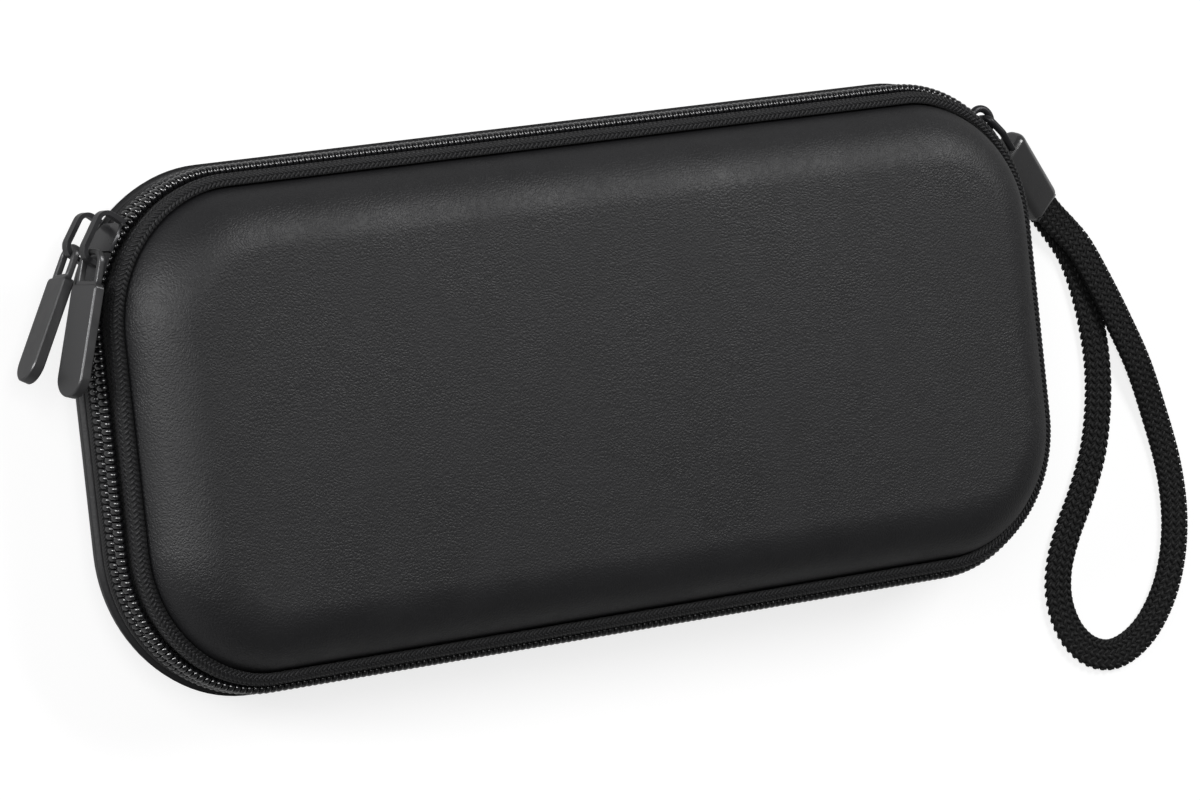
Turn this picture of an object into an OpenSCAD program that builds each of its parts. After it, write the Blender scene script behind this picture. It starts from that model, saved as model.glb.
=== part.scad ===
// Zipped hard-shell carrying case for a handheld game console, lying on its back shell.
// +Z points out of the front face and +X along the long side; the rest face is at Z = 0.
// The two halves part at the zip line and hinge on the right-hand short side.

/* [Case] */
// Length over the zip line
case_l = 260; // [254:1:300]
// Width over the zip line
case_w = 117; // [116:0.5:140]
// Corner radius of the zip line
corner_r = 34.5; // [33:0.5:38]
// Height of the zip line above the rest face
back_depth = 19; // [18.5:0.5:26]
// Height of the front face above the zip line
front_depth = 18.5; // [17.5:0.5:26]
// Wall of both moulded shells
shell_wall = 2.6; // [2:0.1:3]

/* [Back shell] */
// How far the back shell swells out past the zip line
back_bulge = 2.1; // [1.5:0.1:3]
// Radius of the back shell's soft edge
back_edge_r = 16; // [14:0.5:18]
// Drop from the zip line to the back shell's rim
back_rim_drop = 6.2; // [6:0.1:7]

/* [Front shell] */
// How far the front shell is set in from the zip line
front_inset = 3.6; // [3.2:0.1:4.5]
// Radius of the front shell's soft edge
front_edge_r = 15.5; // [12:0.5:17]
// Rise from the zip line to the front shell's rim
front_rim_rise = 3.4; // [3.3:0.1:4]

/* [Edge binding] */
// Height of the woven binding round the front shell's rim
binding_h = 4.4; // [3.5:0.1:5.5]
// How far the binding's face stands inside the zip line
binding_inset = 0.6; // [0.4:0.1:1]
// Height of the narrow binding on the back shell's rim
rear_binding_h = 1.7; // [1.2:0.1:1.7]
// Width of the narrow binding across the rim
rear_binding_w = 2.2; // [1.6:0.1:2.6]

/* [Zip] */
// Pitch of the zip's coil
coil_pitch = 1.62; // [1.5:0.02:2.4]
// Thickness of one coil row, along Z and across
coil_d = 2.6; // [2.4:0.1:2.7]
// Depth of the notch between two turns
coil_notch = 0.5; // [0.3:0.05:0.7]
// Clear gap between the two rows
row_gap = 1; // [1:0.1:1.2]
// Thickness of the woven zip tapes
tape_t = 0.6; // [0.4:0.1:0.7]
// Angle at the hinged corners where the zip stops
zip_end_a = 20; // [18:1:30]

/* [Sliders] */
// Width of a slider's top plate
slider_w = 11; // [10.9:0.1:11.4]
// Thickness of a slider's plates
slider_t = 0.8; // [0.7:0.05:0.9]
// Angle on the corner arc where the sliders meet
slider_meet_a = 32.1; // [30:0.1:36]
// Angle that each slider's body covers on the arc
slider_body_a = 11.6; // [11:0.1:12.4]
// Width of a slider's bridge
bridge_w = 2.2; // [1.8:0.1:2.4]
// Thickness of a slider's bridge
bridge_t = 1.1; // [0.9:0.05:1.3]
// Clear height under a slider's bridge
bridge_h = 4.85; // [4.75:0.05:5]
// Distance of each bridge from the middle of the chain
bridge_off = 4.35; // [4.3:0.05:4.4]

/* [Pulls] */
// Length of the front pull from its bar to its end
pull_l = 33; // [28:0.5:38]
// Length of the rear pull from its bar to its end
rear_pull_l = 32.5; // [28:0.5:38]
// Width of a pull
pull_w = 9.1; // [8:0.1:9.8]
// Thickness of a pull
pull_t = 2.8; // [2.4:0.1:3.2]
// Width of a pull's eye
eye_w = 7.6; // [7.4:0.1:7.8]
// Thickness of a pull's eye and bar
eye_t = 1.6; // [1.3:0.1:1.7]

/* [Inside] */
// Foam left between the recess and each short side
bay_end_wall = 9.5; // [9:0.5:18]
// Foam left between the recess and each long side
bay_side_wall = 7; // [6.8:0.1:12]
// Corner radius of the recess
bay_r = 24; // [23:0.5:30]
// Height of the recess floor above the rest face
bay_floor = 6; // [5.5:0.5:8]
// Length of the padded card flap
flap_l = 200; // [160:1:206]
// Distance of the card flap's long edges from the recess walls
flap_side_gap = 5.5; // [4.5:0.5:14]
// Thickness of the padded card flap
flap_t = 2.6; // [2:0.1:3]
// Width of a retaining band
band_w = 18; // [12:1:25]
// Thickness of a retaining band
band_t = 0.9; // [0.6:0.1:1]
// Distance of the retaining bands from the middle
band_x = 72; // [40:1:84]

/* [Wrist strap] */
// Width of the strap
strap_w = 8; // [7:0.2:8.4]
// Thickness of the strap
strap_t = 1.8; // [1.2:0.1:1.9]
// Width of the ferrule
ferrule_w = 10.6; // [10.2:0.1:12]
// Thickness of the ferrule
ferrule_t = 6.6; // [6.2:0.1:7]
// Length of the ferrule
ferrule_l = 24; // [20:0.5:26]
// Diameter of the wire in the bail and the anchor loop
wire_d = 1.8; // [1.4:0.1:1.8]
// Angle of the anchor loop on the upper right corner
anchor_a = 38; // [30:1:60]

/* [Hidden] */
$fn = 64;

// Clearances: soft pieces that lie on each other, pieces that move past each other
lay_gap = 0.05;
fit_gap = 0.3;
run_gap = 0.4;

// Corner centres of the outline, and the heights of the main levels
mid_x = case_l / 2 - corner_r;
mid_y = case_w / 2 - corner_r;
zip_z = back_depth;
top_z = back_depth + front_depth;
back_rim_z = zip_z - back_rim_drop;
front_rim_z = zip_z + front_rim_rise;

// Zip section, as distances out from the corner centres
tape_gap = 0.4;
tape_back = 0.1;
coil_in = corner_r - coil_d / 2;
coil_out = corner_r + coil_d / 2;
tape_out = coil_in - tape_gap;
tape_in = tape_out - tape_t;
tape_edge = row_gap / 2 + tape_back;
tape_turn_z = front_rim_z - lay_gap * 2;
tape_sewn = 1.5;
tape_sunk = 0.9;
stop_a = 2.4;
stop_gap_a = 0.2;

// Shell walls, as distances out from the corner centres
back_wall_x = corner_r + back_bulge;
front_wall_x = corner_r - front_inset;
front_in_x = front_wall_x - shell_wall;

// Slider section
plate_gap = 0.35;
plate_in = coil_out + plate_gap;
plate_out = plate_in + slider_t;
under_out = tape_in - run_gap;
under_in = under_out - slider_t;
under_rise = 1.8;
flange_t = 0.5;
flange_in = coil_in + 0.5;
tail_in = 2.2;
nose_run = 0.6;
join = 0.1;
post_t = 0.4;
post_a = 3.5;
bridge_in = plate_out + bridge_h;
bridge_out = bridge_in + bridge_t;
bridge_r = 3;
bridge_inner_r = 1.8;
front_bridge_a = 17.5;
rear_bridge_up_a = 12;
rear_bridge_down_a = 3.4;
bar_gap = 0.95;
bar_side_gap = 0.75;
bar_x = bridge_in - eye_t / 2 - bar_gap;
slider_gap_a = 0.3;

// Pull: rails of its eye, inner end of the eye, start of the tab, chamfer of the tab
rail_w = 1.1;
eye_l = 6.6;
tab_x = 7.6;
tab_edge = 0.4;
eye_sunk = 1;

// Hinge tape
hinge_t = 0.8;
hinge_x = tape_out - hinge_t;
hinge_end_a = zip_end_a - 4;

// Lining and what lies inside
lining_t = 0.8;
cradle_in = 4.2;
cradle_drop = 1.4;
cradle_side_x = corner_r - cradle_in;
cradle_top_z = zip_z - cradle_drop;
bay_l = case_l - 2 * bay_end_wall;
bay_w = case_w - 2 * bay_side_wall;
flap_w = bay_w - 2 * flap_side_gap;
flap_r = 12;
thumb_r = 11;
thumb_deep = 1.6;
thumb_end = 20;
thumb_off = 12.4;
sewn_gap = 4 * lay_gap;
sewn_x = front_in_x - sewn_gap;
lining_x = sewn_x - hinge_t - lay_gap;
lining_r = front_edge_r - shell_wall - tape_t;
lining_top_z = top_z - shell_wall - lay_gap;
lining_rim_z = front_rim_z + 0.2;
band_over = 2;
hem_t = 0.8;
hem_w = 1.6;
hem_gap = 3;
band_z = cradle_top_z + lay_gap;
flap_z = band_z + band_t + fit_gap;
flap_top_z = flap_z + flap_t;
sleeve_t = 0.9;
sleeve_n = 5;
sleeve_w = 28;
sleeve_h = 36;
sleeve_gap = 8;
sleeve_seam = 2;
sleeve_r = 2;
sleeve_pitch = sleeve_w + sleeve_gap;
pocket_rise = 1.6;
pocket_z = flap_top_z + sleeve_t + pocket_rise;
pocket_t = 0.8;
pocket_open_up = 6;
pocket_open_y = mid_y + pocket_open_up;
elastic_w = 5;
elastic_t = 1.6;
elastic_z = pocket_z + pocket_t + lay_gap;

// Wrist strap: anchor loop in the seam of the back shell, pin of the bail through it
loop_r = 3.1;
loop_reach = 4.7;
loop_x = corner_r + loop_reach;
loop_z = back_rim_z + lay_gap + wire_d / 2;
pin_gap = 0.25;
pin_x = loop_x + loop_r - wire_d - pin_gap;
pin = [mid_x + pin_x * cos(anchor_a), mid_y + pin_x * sin(anchor_a)];
leg_off = 0.35;
leg_gap = wire_d + leg_off;
leg_run = 5;
leg_l = 4.5;
leg_sunk = 1.6;
pin_bend_r = 1.4;
leg_bend_r = 3;
ferrule_a = -46;
ferrule_tilt = 21;
ferrule_r = 2.6;
ferrule_end_r = 2.2;
ferrule_run = leg_run + leg_bend_r * sin(ferrule_tilt) + leg_l * cos(ferrule_tilt);
ferrule_z = loop_z - leg_bend_r * (1 - cos(ferrule_tilt)) - leg_l * sin(ferrule_tilt);
slot_side = 0.6;
slot_rise = 0.9;
slot_w = strap_w + slot_side;
slot_t = 2 * strap_t + slot_rise;
slot_l = 4.5;

// Middle line of the wrist strap, laid on the surface: out of the ferrule, round and back
strap_route = [
    [147.5, 27.8, 3.85], [150.1, 25.1, 2.4], [153.1, 21.9, 1.35], [156.5, 17.5, 1],
    [159.5, 12.5, 1], [162, 5, 1], [163.8, -5, 1], [164.4, -15, 1],
    [163.4, -25, 1], [160.4, -36.5, 1], [155.2, -47, 1], [149.6, -56, 1],
    [145.8, -64.5, 1], [145, -72.5, 1], [147.3, -80, 1], [152, -85.3, 1],
    [158.2, -87.6, 1], [164.5, -86.6, 1], [170.8, -83, 1], [176, -77.5, 1],
    [180, -70.8, 1], [182.8, -62.5, 1], [184, -53, 1], [183.3, -42, 1],
    [180.3, -29.5, 1.4], [175.8, -17, 2.8], [171, -6, 3.1], [166.3, 4, 3.1],
    [161.3, 13.4, 3.1], [157.2, 18.4, 3.15], [153.4, 22.1, 3.6], [150.4, 25.1, 4.45],
    [147.6, 27.8, 5.85]];

// Outline helpers: side k faces +X, +Y, -X, -Y in turn, corner k follows side k
function side_off(k) = k % 2 == 0 ? mid_x : mid_y;
function side_half(k) = k % 2 == 0 ? mid_y : mid_x;
function corner_at(k) = [(k == 0 || k == 3) ? mid_x : -mid_x, k < 2 ? mid_y : -mid_y, 0];

// Point on the outline of offset r at the angle a of corner k
function arc_point(k, r, a) = [corner_at(k).x + r * cos(a), corner_at(k).y + r * sin(a)];

// Sweeps a section along side k; x is the distance out from the corner centres
module along_side(k)
    rotate([0, 0, 90 * k]) translate([side_off(k), side_half(k), 0])
        rotate([90, 0, 0]) linear_extrude(2 * side_half(k)) children();

// Sweeps a section round corner k from the angle a0 to a1 of its quarter turn
module round_corner(k, a0 = 0, a1 = 90)
    translate(corner_at(k)) rotate([0, 0, 90 * k + a0]) rotate_extrude(angle = a1 - a0) children();

// Sweeps a section round the whole outline
module round_case()
    for (k = [0:3]) {
        along_side(k) children();
        round_corner(k) children();
    }

// Sweeps a section along the zip, which leaves out the hinged side
module round_zip(end_a = zip_end_a) {
    for (k = [1:3]) along_side(k) children();
    round_corner(0, end_a, 90) children();
    round_corner(1) children();
    round_corner(2) children();
    round_corner(3, 0, 90 - end_a) children();
}

// Rectangle given by its corners
module span(x0, y0, x1, y1) translate([x0, y0]) square([x1 - x0, y1 - y0]);

// Section of a pillow edge: flat at height 0, rounded by r out to wall_x, cut off at height h
module pillow(wall_x, r, h)
    intersection() {
        union() {
            translate([wall_x - r, r]) circle(r, $fn = 96);
            span(0, 0, wall_x - r, h);
            if (h > r) span(0, r, wall_x, h);
        }
        span(0, 0, wall_x + 1, h);
    }

// Section of a moulded shell with an even wall
module shell_section(wall_x, r, h, wall)
    difference() {
        pillow(wall_x, r, h);
        translate([0, wall]) pillow(wall_x - wall, r - wall, h);
    }

// Whole shell, its face at height 0 and its rim at height h
module shell(wall_x, r, h, wall) {
    round_case() shell_section(wall_x, r, h, wall);
    translate([-mid_x, -mid_y, 0]) cube([2 * mid_x, 2 * mid_y, wall]);
}

// Turns a piece over so that it hangs down from the height z
module hang_from(z) translate([0, 0, z]) mirror([0, 0, 1]) children();

module back_shell()
    color("#1b1b1d") shell(back_wall_x, back_edge_r, back_rim_z, shell_wall);

module front_shell()
    color("#202022") hang_from(top_z)
        shell(front_wall_x, front_edge_r, top_z - front_rim_z, shell_wall);

module front_lining()
    color("#2c2c30") hang_from(lining_top_z)
        shell(lining_x, lining_r, lining_top_z - lining_rim_z, lining_t);

// Soft rounded section of a binding, its outer edge rounded
module binding_section(x0, z0, x1, z1) {
    r = min(x1 - x0, (z1 - z0) / 2) * 0.95;
    intersection() {
        soft_rect(x0 - 2 * r, z0, x1, z1, r);
        span(x0, z0, x1, z1);
    }
}

module front_binding()
    color("#26262a") round_case()
        binding_section(front_wall_x + lay_gap, front_rim_z, corner_r - binding_inset,
                        front_rim_z + binding_h);

module back_binding()
    color("#26262a") round_case()
        binding_section(tape_out + lay_gap, back_rim_z + lay_gap, tape_out + lay_gap + rear_binding_w,
                        back_rim_z + lay_gap + rear_binding_h);

module front_zip_tape()
    color("#141416") round_zip() {
        span(tape_in, zip_z + tape_edge, tape_out, tape_turn_z);
        front_turn_in(tape_t);
    }
// Tape of the thickness t where it turns in under the front shell's rim and up its wall
module front_turn_in(t) {
    span(sewn_x - t, tape_turn_z - t, tape_out, tape_turn_z);
    span(sewn_x - t, tape_turn_z - t, sewn_x, front_rim_z + tape_sewn);
}

module back_zip_tape()
    color("#141416") round_zip()
        span(tape_in, back_rim_z - tape_sunk, tape_out, zip_z - tape_edge);

// Points of the zip line at offset r, one at each length s from the lower hinged corner
quarter_l = corner_r * PI / 2;
zip_cut_l = corner_r * PI * zip_end_a / 180;
zip_len = 4 * mid_x + 2 * mid_y + 4 * quarter_l - 2 * zip_cut_l;
turn_n = floor(zip_len / coil_pitch);

function zip_point(s, r) =
    let (a = s + zip_cut_l,
         s1 = quarter_l, s2 = s1 + 2 * mid_x, s3 = s2 + quarter_l,
         s4 = s3 + 2 * mid_y, s5 = s4 + quarter_l, s6 = s5 + 2 * mid_x)
    a < s1 ? arc_point(3, r, -90 * a / s1) :
    a < s2 ? [mid_x - (a - s1), -mid_y - r] :
    a < s3 ? arc_point(2, r, -90 - 90 * (a - s2) / quarter_l) :
    a < s4 ? [-mid_x - r, -mid_y + (a - s3)] :
    a < s5 ? arc_point(1, r, 180 - 90 * (a - s4) / quarter_l) :
    a < s6 ? [-mid_x + (a - s5), mid_y + r] :
    arc_point(0, r, 90 - 90 * (a - s6) / quarter_l);

// One row of the coil: a rounded turn at each pitch, a smooth back where it is sewn on
module coil_row(z0, phase) {
    turn = [[0.08, coil_out - coil_notch], [0.34, coil_out], [0.72, coil_out]];
    outer = [for (i = [0:turn_n - 2]) for (t = turn)
             zip_point((i + phase + t[0]) * coil_pitch, t[1])];
    back_n = 120;
    inner = [for (i = [back_n:-1:0])
             zip_point(phase * coil_pitch + (turn_n - 1) * coil_pitch * i / back_n, coil_in)];
    translate([0, 0, z0]) linear_extrude(coil_d) polygon(concat(outer, inner));
}

module front_coil() color("#0c0c0e") coil_row(zip_z + row_gap / 2, 0.1);

module back_coil() color("#0c0c0e") coil_row(zip_z - row_gap / 2 - coil_d, 0.6);

// Moulded stops that close both ends of the chain
module zip_end_stops() {
    color("#0c0c0e") for (k = [0, 3]) {
        a0 = k == 0 ? zip_end_a - stop_a - stop_gap_a : 90 - zip_end_a + stop_gap_a;
        round_corner(k, a0, a0 + stop_a)
            span(tape_out + lay_gap, back_rim_z + rear_binding_h + 2 * lay_gap, coil_out,
                 zip_z - row_gap / 2);
    }
}

// Woven tape that joins the halves on the right-hand side and is the hinge
module hinge_tape()
    color("#1a1a1c") {
        along_side(0) hinge_section();
        round_corner(0, 0, hinge_end_a) hinge_section();
        round_corner(3, 90 - hinge_end_a, 90) hinge_section();
    }
module hinge_section() {
    span(hinge_x, back_rim_z - tape_sunk, tape_out, tape_turn_z);
    front_turn_in(hinge_t);
}

// Local frame on the upper left corner: x out from the zip arc at the angle t, y down along it
module at_arc(t) translate(corner_at(1)) rotate([0, 0, 180 - t]) children();

// Section swept over the arc from the angle t0 up to t1
module arc_sweep(t0, t1)
    translate(corner_at(1)) rotate([0, 0, 180 - t1]) rotate_extrude(angle = t1 - t0) children();

// Slider body from t0 to t1; its nose, with the post between the rows, faces the other slider
module slider_body(t0, t1, nose_up) {
    shoulder = slider_w / 2;
    tail = slider_w / 2 - tail_in;
    s = (t1 - t0) * PI / 180 * plate_out / 2 + nose_run;
    y_nose = nose_up ? -s : s;
    intersection() {
        arc_sweep(t0, t1) span(plate_in, zip_z - shoulder, plate_out, zip_z + shoulder);
        at_arc((t0 + t1) / 2) translate([0, 0, zip_z]) rotate([0, 90, 0]) linear_extrude(2 * corner_r)
            polygon([[-shoulder, y_nose], [shoulder, y_nose], [shoulder, y_nose * -0.1],
                     [tail, -y_nose], [-tail, -y_nose], [-shoulder, y_nose * -0.1]]);
    }
    flange_z = zip_z - row_gap / 2 - coil_d - run_gap;
    arc_sweep(t0, t1)
        span(flange_in, flange_z - flange_t, plate_in + join, flange_z);
    arc_sweep(t0, t1) span(under_in, flange_z - flange_t, under_out, zip_z + under_rise);
    post0 = nose_up ? t1 - post_a : t0;
    arc_sweep(post0, post0 + post_a)
        span(under_out - join, zip_z - post_t / 2, plate_in + join, zip_z + post_t / 2);
}

// Rounded rectangle with exact corner arcs
module soft_rect(x0, y0, x1, y1, r) {
    span(x0 + r, y0, x1 - r, y1);
    span(x0, y0 + r, x1, y1 - r);
    for (x = [x0 + r, x1 - r], y = [y0 + r, y1 - r]) translate([x, y]) circle(r);
}

// Bridge of a slider from the angle t0 to t1; the foot is at the upper or the lower end
module bridge(t0, t1, z, foot_up) {
    half = (t1 - t0) * PI / 180 * bridge_in / 2;
    tip = foot_up ? 1 : -1;
    at_arc((t0 + t1) / 2) translate([0, 0, zip_z + z - bridge_w / 2]) linear_extrude(bridge_w)
        difference() {
            intersection() {
                soft_rect(plate_in - 2 * bridge_r, -half, bridge_out, half, bridge_r);
                span(plate_in + join / 2, -half, bridge_out, half);
            }
            intersection() {
                soft_rect(plate_in - 2 * bridge_r, -half + bridge_t, bridge_in, half - bridge_t,
                          bridge_inner_r);
                span(plate_in - 1, -half, bridge_out, half);
            }
            translate([plate_in - 1, tip > 0 ? 0 : -half - 1])
                square([plate_out + run_gap - plate_in + 1, half + 1]);
        }
}

upper_t0 = slider_meet_a + slider_gap_a;
upper_t1 = upper_t0 + slider_body_a;
lower_t1 = slider_meet_a - slider_gap_a;
lower_t0 = lower_t1 - slider_body_a;
front_bridge = [upper_t1 - front_bridge_a, upper_t1];
rear_bridge = [lower_t1 - rear_bridge_down_a, lower_t1 + rear_bridge_up_a];

module slider_upper() color("#3a3a3e") {
    slider_body(upper_t0, upper_t1, false);
    bridge(front_bridge[0], front_bridge[1], bridge_off, true);
}

module slider_lower() color("#3a3a3e") {
    slider_body(lower_t0, lower_t1, true);
    bridge(rear_bridge[0], rear_bridge[1], -bridge_off, false);
}

// Bar of a pull: it lies under the bridge, near the bridge's lower end
function bridge_half(b) = (b[1] - b[0]) * PI / 180 * bridge_in / 2;
function bar_y(b) = bridge_half(b) - bridge_t - eye_t / 2 - bar_side_gap;
function bar_at(b) =
    let (a = 180 - (b[0] + b[1]) / 2)
    [corner_at(1).x + bar_x * cos(a) - bar_y(b) * sin(a),
     corner_at(1).y + bar_x * sin(a) + bar_y(b) * cos(a)];

// Pull with its bar at the origin and its tab along +X, its face towards +Z
module pull(l)
    color("#48484c") {
        translate([0, -eye_w / 2, 0]) rotate([-90, 0, 0]) cylinder(d = eye_t, h = eye_w, $fn = 32);
        for (s = [-1, 1]) translate([0, s > 0 ? eye_w / 2 - rail_w : -eye_w / 2, -eye_t / 2])
            cube([tab_x + eye_sunk, rail_w, eye_t]);
        translate([eye_l, -eye_w / 2, -eye_t / 2]) cube([tab_x + eye_sunk - eye_l, eye_w, eye_t]);
        hull() {
            tab_slab(tab_x, l, 0, pull_t - 2 * tab_edge);
            tab_slab(tab_x, l, tab_edge, pull_t);
        }
    }
module tab_slab(x0, l, inset, t)
    translate([0, 0, -t / 2]) linear_extrude(t) {
        w = pull_w / 2 - inset;
        translate([l - pull_w / 2, 0]) circle(w, $fn = 40);
        span(x0 + inset, -w, l - pull_w / 2, w);
    }

// Swing of a pull's tab from -Y outwards, and its turn about its own length
front_swing = 17.5;
front_turn = -6.5;
front_pull_side = 0.75;
rear_pull_side = 1;
front_pull_off = bridge_off + front_pull_side;
rear_swing = 29;
rear_turn = 6;
rear_pull_off = bridge_off + rear_pull_side;

module place_pull(b, z, swing, turn)
    translate([bar_at(b).x, bar_at(b).y, zip_z + z]) rotate([0, 0, -90 - swing])
        rotate([90 + turn, 0, 0]) children();

module pull_front() place_pull(front_bridge, front_pull_off, front_swing, front_turn) pull(pull_l);

module pull_rear() place_pull(rear_bridge, -rear_pull_off, rear_swing, rear_turn) pull(rear_pull_l);

// Moulded foam tray with the recess for the console
module console_cradle()
    color("#333338") difference() {
        union() {
            round_case() cradle_section();
            translate([-mid_x, -mid_y, shell_wall + lay_gap])
                cube([2 * mid_x, 2 * mid_y, cradle_top_z - shell_wall - lay_gap]);
        }
        translate([0, 0, bay_floor]) linear_extrude(cradle_top_z)
            soft_rect(-bay_l / 2, -bay_w / 2, bay_l / 2, bay_w / 2, bay_r);
        thumb_reliefs();
    }
module cradle_section()
    intersection() {
        translate([0, shell_wall + lay_gap])
            pillow(back_wall_x - shell_wall - fit_gap, back_edge_r - shell_wall - fit_gap, cradle_top_z);
        span(0, 0, cradle_side_x, cradle_top_z);
    }
// Two pockets in the recess floor that clear the console's thumb sticks
module thumb_reliefs()
    for (s = [[-1, 1], [1, -1]])
        translate([s.x * (bay_l / 2 - thumb_end), s.y * thumb_off, bay_floor - thumb_deep])
            cylinder(r = thumb_r, h = 2 * thumb_deep);

module retaining_band(x)
    color("#18181a") translate([x - band_w / 2, -bay_w / 2 - band_over, band_z])
        cube([band_w, bay_w + 2 * band_over, band_t]);
module retaining_band_left() retaining_band(-band_x);
module retaining_band_right() retaining_band(band_x);

// Padded flap that lies over the console, sewn to the cradle along its lower long side
module card_flap()
    color("#2a2a2e") {
        translate([0, 0, flap_z]) linear_extrude(flap_t)
            soft_rect(-flap_l / 2, -flap_w / 2, flap_l / 2, flap_w / 2, flap_r);
        hem_l = 2 * (band_x - band_w / 2 - hem_gap);
        translate([-hem_l / 2, -bay_w / 2 - band_over, band_z])
            cube([hem_l, hem_w, flap_z + hem_t - band_z]);
        translate([-hem_l / 2, -bay_w / 2 - band_over, flap_z])
            cube([hem_l, band_over + flap_side_gap + join, hem_t]);
    }

// Sewn sleeves for game cards: each has a pocket open at its upper edge
module card_sleeves()
    color("#202024") for (i = [0:sleeve_n - 1])
        translate([(i - (sleeve_n - 1) / 2) * sleeve_pitch, 0, flap_top_z + lay_gap])
            difference() {
                linear_extrude(sleeve_t)
                    soft_rect(-sleeve_w / 2, -sleeve_h / 2, sleeve_w / 2, sleeve_h / 2, sleeve_r);
                translate([-sleeve_w / 2 + sleeve_seam, -sleeve_h / 2 + sleeve_seam, -sleeve_t])
                    cube([sleeve_w - 2 * sleeve_seam, sleeve_h, 1.45 * sleeve_t]);
            }

// Net pocket in the lid, sewn to the lining on three sides and open along its upper side
module mesh_pocket()
    color("#111113") translate([0, 0, pocket_z]) intersection() {
        linear_extrude(pocket_t) lid_outline(lining_in_x(pocket_z + pocket_t) - fit_gap);
        translate([-case_l, -case_w, 0]) cube([2 * case_l, case_w + pocket_open_y, pocket_t]);
    }
// Inner wall of the lining at the height z, where it rounds over to the face
lining_round_z = lining_top_z - lining_r;
function lining_in_x(z) =
    let (r = lining_r - lining_t, h = max(0, z - lining_round_z))
    lining_x - lining_t - r + sqrt(r * r - h * h);
module lid_outline(r)
    soft_rect(-mid_x - r, -mid_y - r, mid_x + r, mid_y + r, r);

module pocket_elastic()
    color("#18181a") translate([0, pocket_open_y - elastic_w / 2, elastic_z])
        intersection() {
            translate([-case_l / 2, -elastic_w / 2, 0]) cube([case_l, elastic_w, elastic_t]);
            translate([0, elastic_w / 2 - pocket_open_y, 0]) linear_extrude(elastic_t)
                lid_outline(lining_in_x(elastic_z + elastic_t) - fit_gap);
        }

// Loop of coated wire held in the seam of the back shell at the upper right corner
module anchor_loop()
    color("#2e2e30") translate([mid_x, mid_y, loop_z]) rotate([0, 0, anchor_a]) {
        foot_x = tape_out + lay_gap + rear_binding_w + lay_gap;
        translate([loop_x, 0, 0]) rotate([0, 0, -90])
            rotate_extrude(angle = 180) translate([loop_r, 0]) circle(d = wire_d, $fn = 32);
        for (s = [-1, 1]) translate([foot_x, s * loop_r, 0])
            rotate([0, 90, 0]) cylinder(d = wire_d, h = loop_x - foot_x, $fn = 32);
    }

// Frame of the bail: origin on its pin, x towards the ferrule
module at_pin() translate([pin.x, pin.y, 0]) rotate([0, 0, ferrule_a]) children();

// Middle line of the bail in its own plane, from the upper leg's end round the pin to the lower one's
function wire_arc(c, r, a0, a1, n) = [for (i = [0:n]) let (a = a0 + (a1 - a0) * i / n)
                                      c + r * [cos(a), sin(a)]];
function leg_end(s) = [leg_run + leg_bend_r * sin(ferrule_tilt) + (leg_l + leg_sunk) * cos(ferrule_tilt),
                       s * leg_gap - leg_bend_r * (1 - cos(ferrule_tilt))
                       - (leg_l + leg_sunk) * sin(ferrule_tilt)];
pin_half = leg_gap - pin_bend_r;
bail_line = concat(
    [leg_end(1)],
    wire_arc([leg_run, leg_gap - leg_bend_r], leg_bend_r, 90 - ferrule_tilt, 90, 3),
    wire_arc([pin_bend_r, pin_half], pin_bend_r, 90, 180, 5),
    wire_arc([pin_bend_r, -pin_half], pin_bend_r, 180, 270, 5),
    wire_arc([leg_run, -leg_gap - leg_bend_r], leg_bend_r, 90, 90 - ferrule_tilt, 3),
    [leg_end(-1)]);

// Round wire along a line in the XZ plane
module flat_wire(line, d, sides = 12) {
    n = len(line);
    points = [for (i = [0:n - 1])
              let (v = line[min(i + 1, n - 1)] - line[max(i - 1, 0)], t = v / norm(v))
              for (j = [0:sides - 1]) let (a = 360 * j / sides, q = cos(a) * d / 2)
              [line[i].x - t.y * q, -sin(a) * d / 2, line[i].y + t.x * q]];
    polyhedron(points, tube_faces(n, sides));
}
// Faces of a tube of n rings of m points, its ends closed
function tube_faces(n, m) = concat(
    [for (i = [0:n - 2]) for (j = [0:m - 1])
     each [[i * m + j, i * m + (j + 1) % m, (i + 1) * m + (j + 1) % m],
           [i * m + j, (i + 1) * m + (j + 1) % m, (i + 1) * m + j]]],
    [[for (j = [m - 1:-1:0]) j]], [[for (j = [0:m - 1]) (n - 1) * m + j]]);

module strap_bail()
    color("#2e2e30") at_pin() translate([0, 0, loop_z]) flat_wire(bail_line, wire_d);

// Moulded sleeve that holds both ends of the strap
module strap_ferrule()
    color("#3c3c40") at_pin() translate([ferrule_run, 0, ferrule_z]) rotate([0, ferrule_tilt, 0])
        difference() {
            intersection() {
                rotate([90, 0, 90]) linear_extrude(ferrule_l)
                    soft_rect(-ferrule_w / 2, -ferrule_t / 2, ferrule_w / 2, ferrule_t / 2, ferrule_r);
                translate([0, 0, -ferrule_t]) linear_extrude(2 * ferrule_t)
                    soft_rect(0, -ferrule_w / 2, ferrule_l, ferrule_w / 2, ferrule_end_r);
            }
            translate([ferrule_l - slot_l, -slot_w / 2, -slot_t / 2]) cube([slot_l + 1, slot_w, slot_t]);
            for (s = [-1, 1]) translate([-1, 0, s * leg_gap * cos(ferrule_tilt)]) rotate([0, 90, 0])
                cylinder(d = wire_d + 2 * lay_gap, h = 1 + leg_sunk + leg_gap * sin(ferrule_tilt) + fit_gap);
        }

// Smooth curve through the route's points
function spline(p, i, t) =
    let (n = len(p), a = p[max(i - 1, 0)], b = p[i], c = p[i + 1], d = p[min(i + 2, n - 1)])
    0.5 * (2 * b + (c - a) * t + (2 * a - 5 * b + 4 * c - d) * t * t
           + (3 * b - a - 3 * c + d) * t * t * t);
strap_line = concat([for (i = [0:len(strap_route) - 2]) for (t = [0, 0.5]) spline(strap_route, i, t)],
                    [strap_route[len(strap_route) - 1]]);

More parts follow.
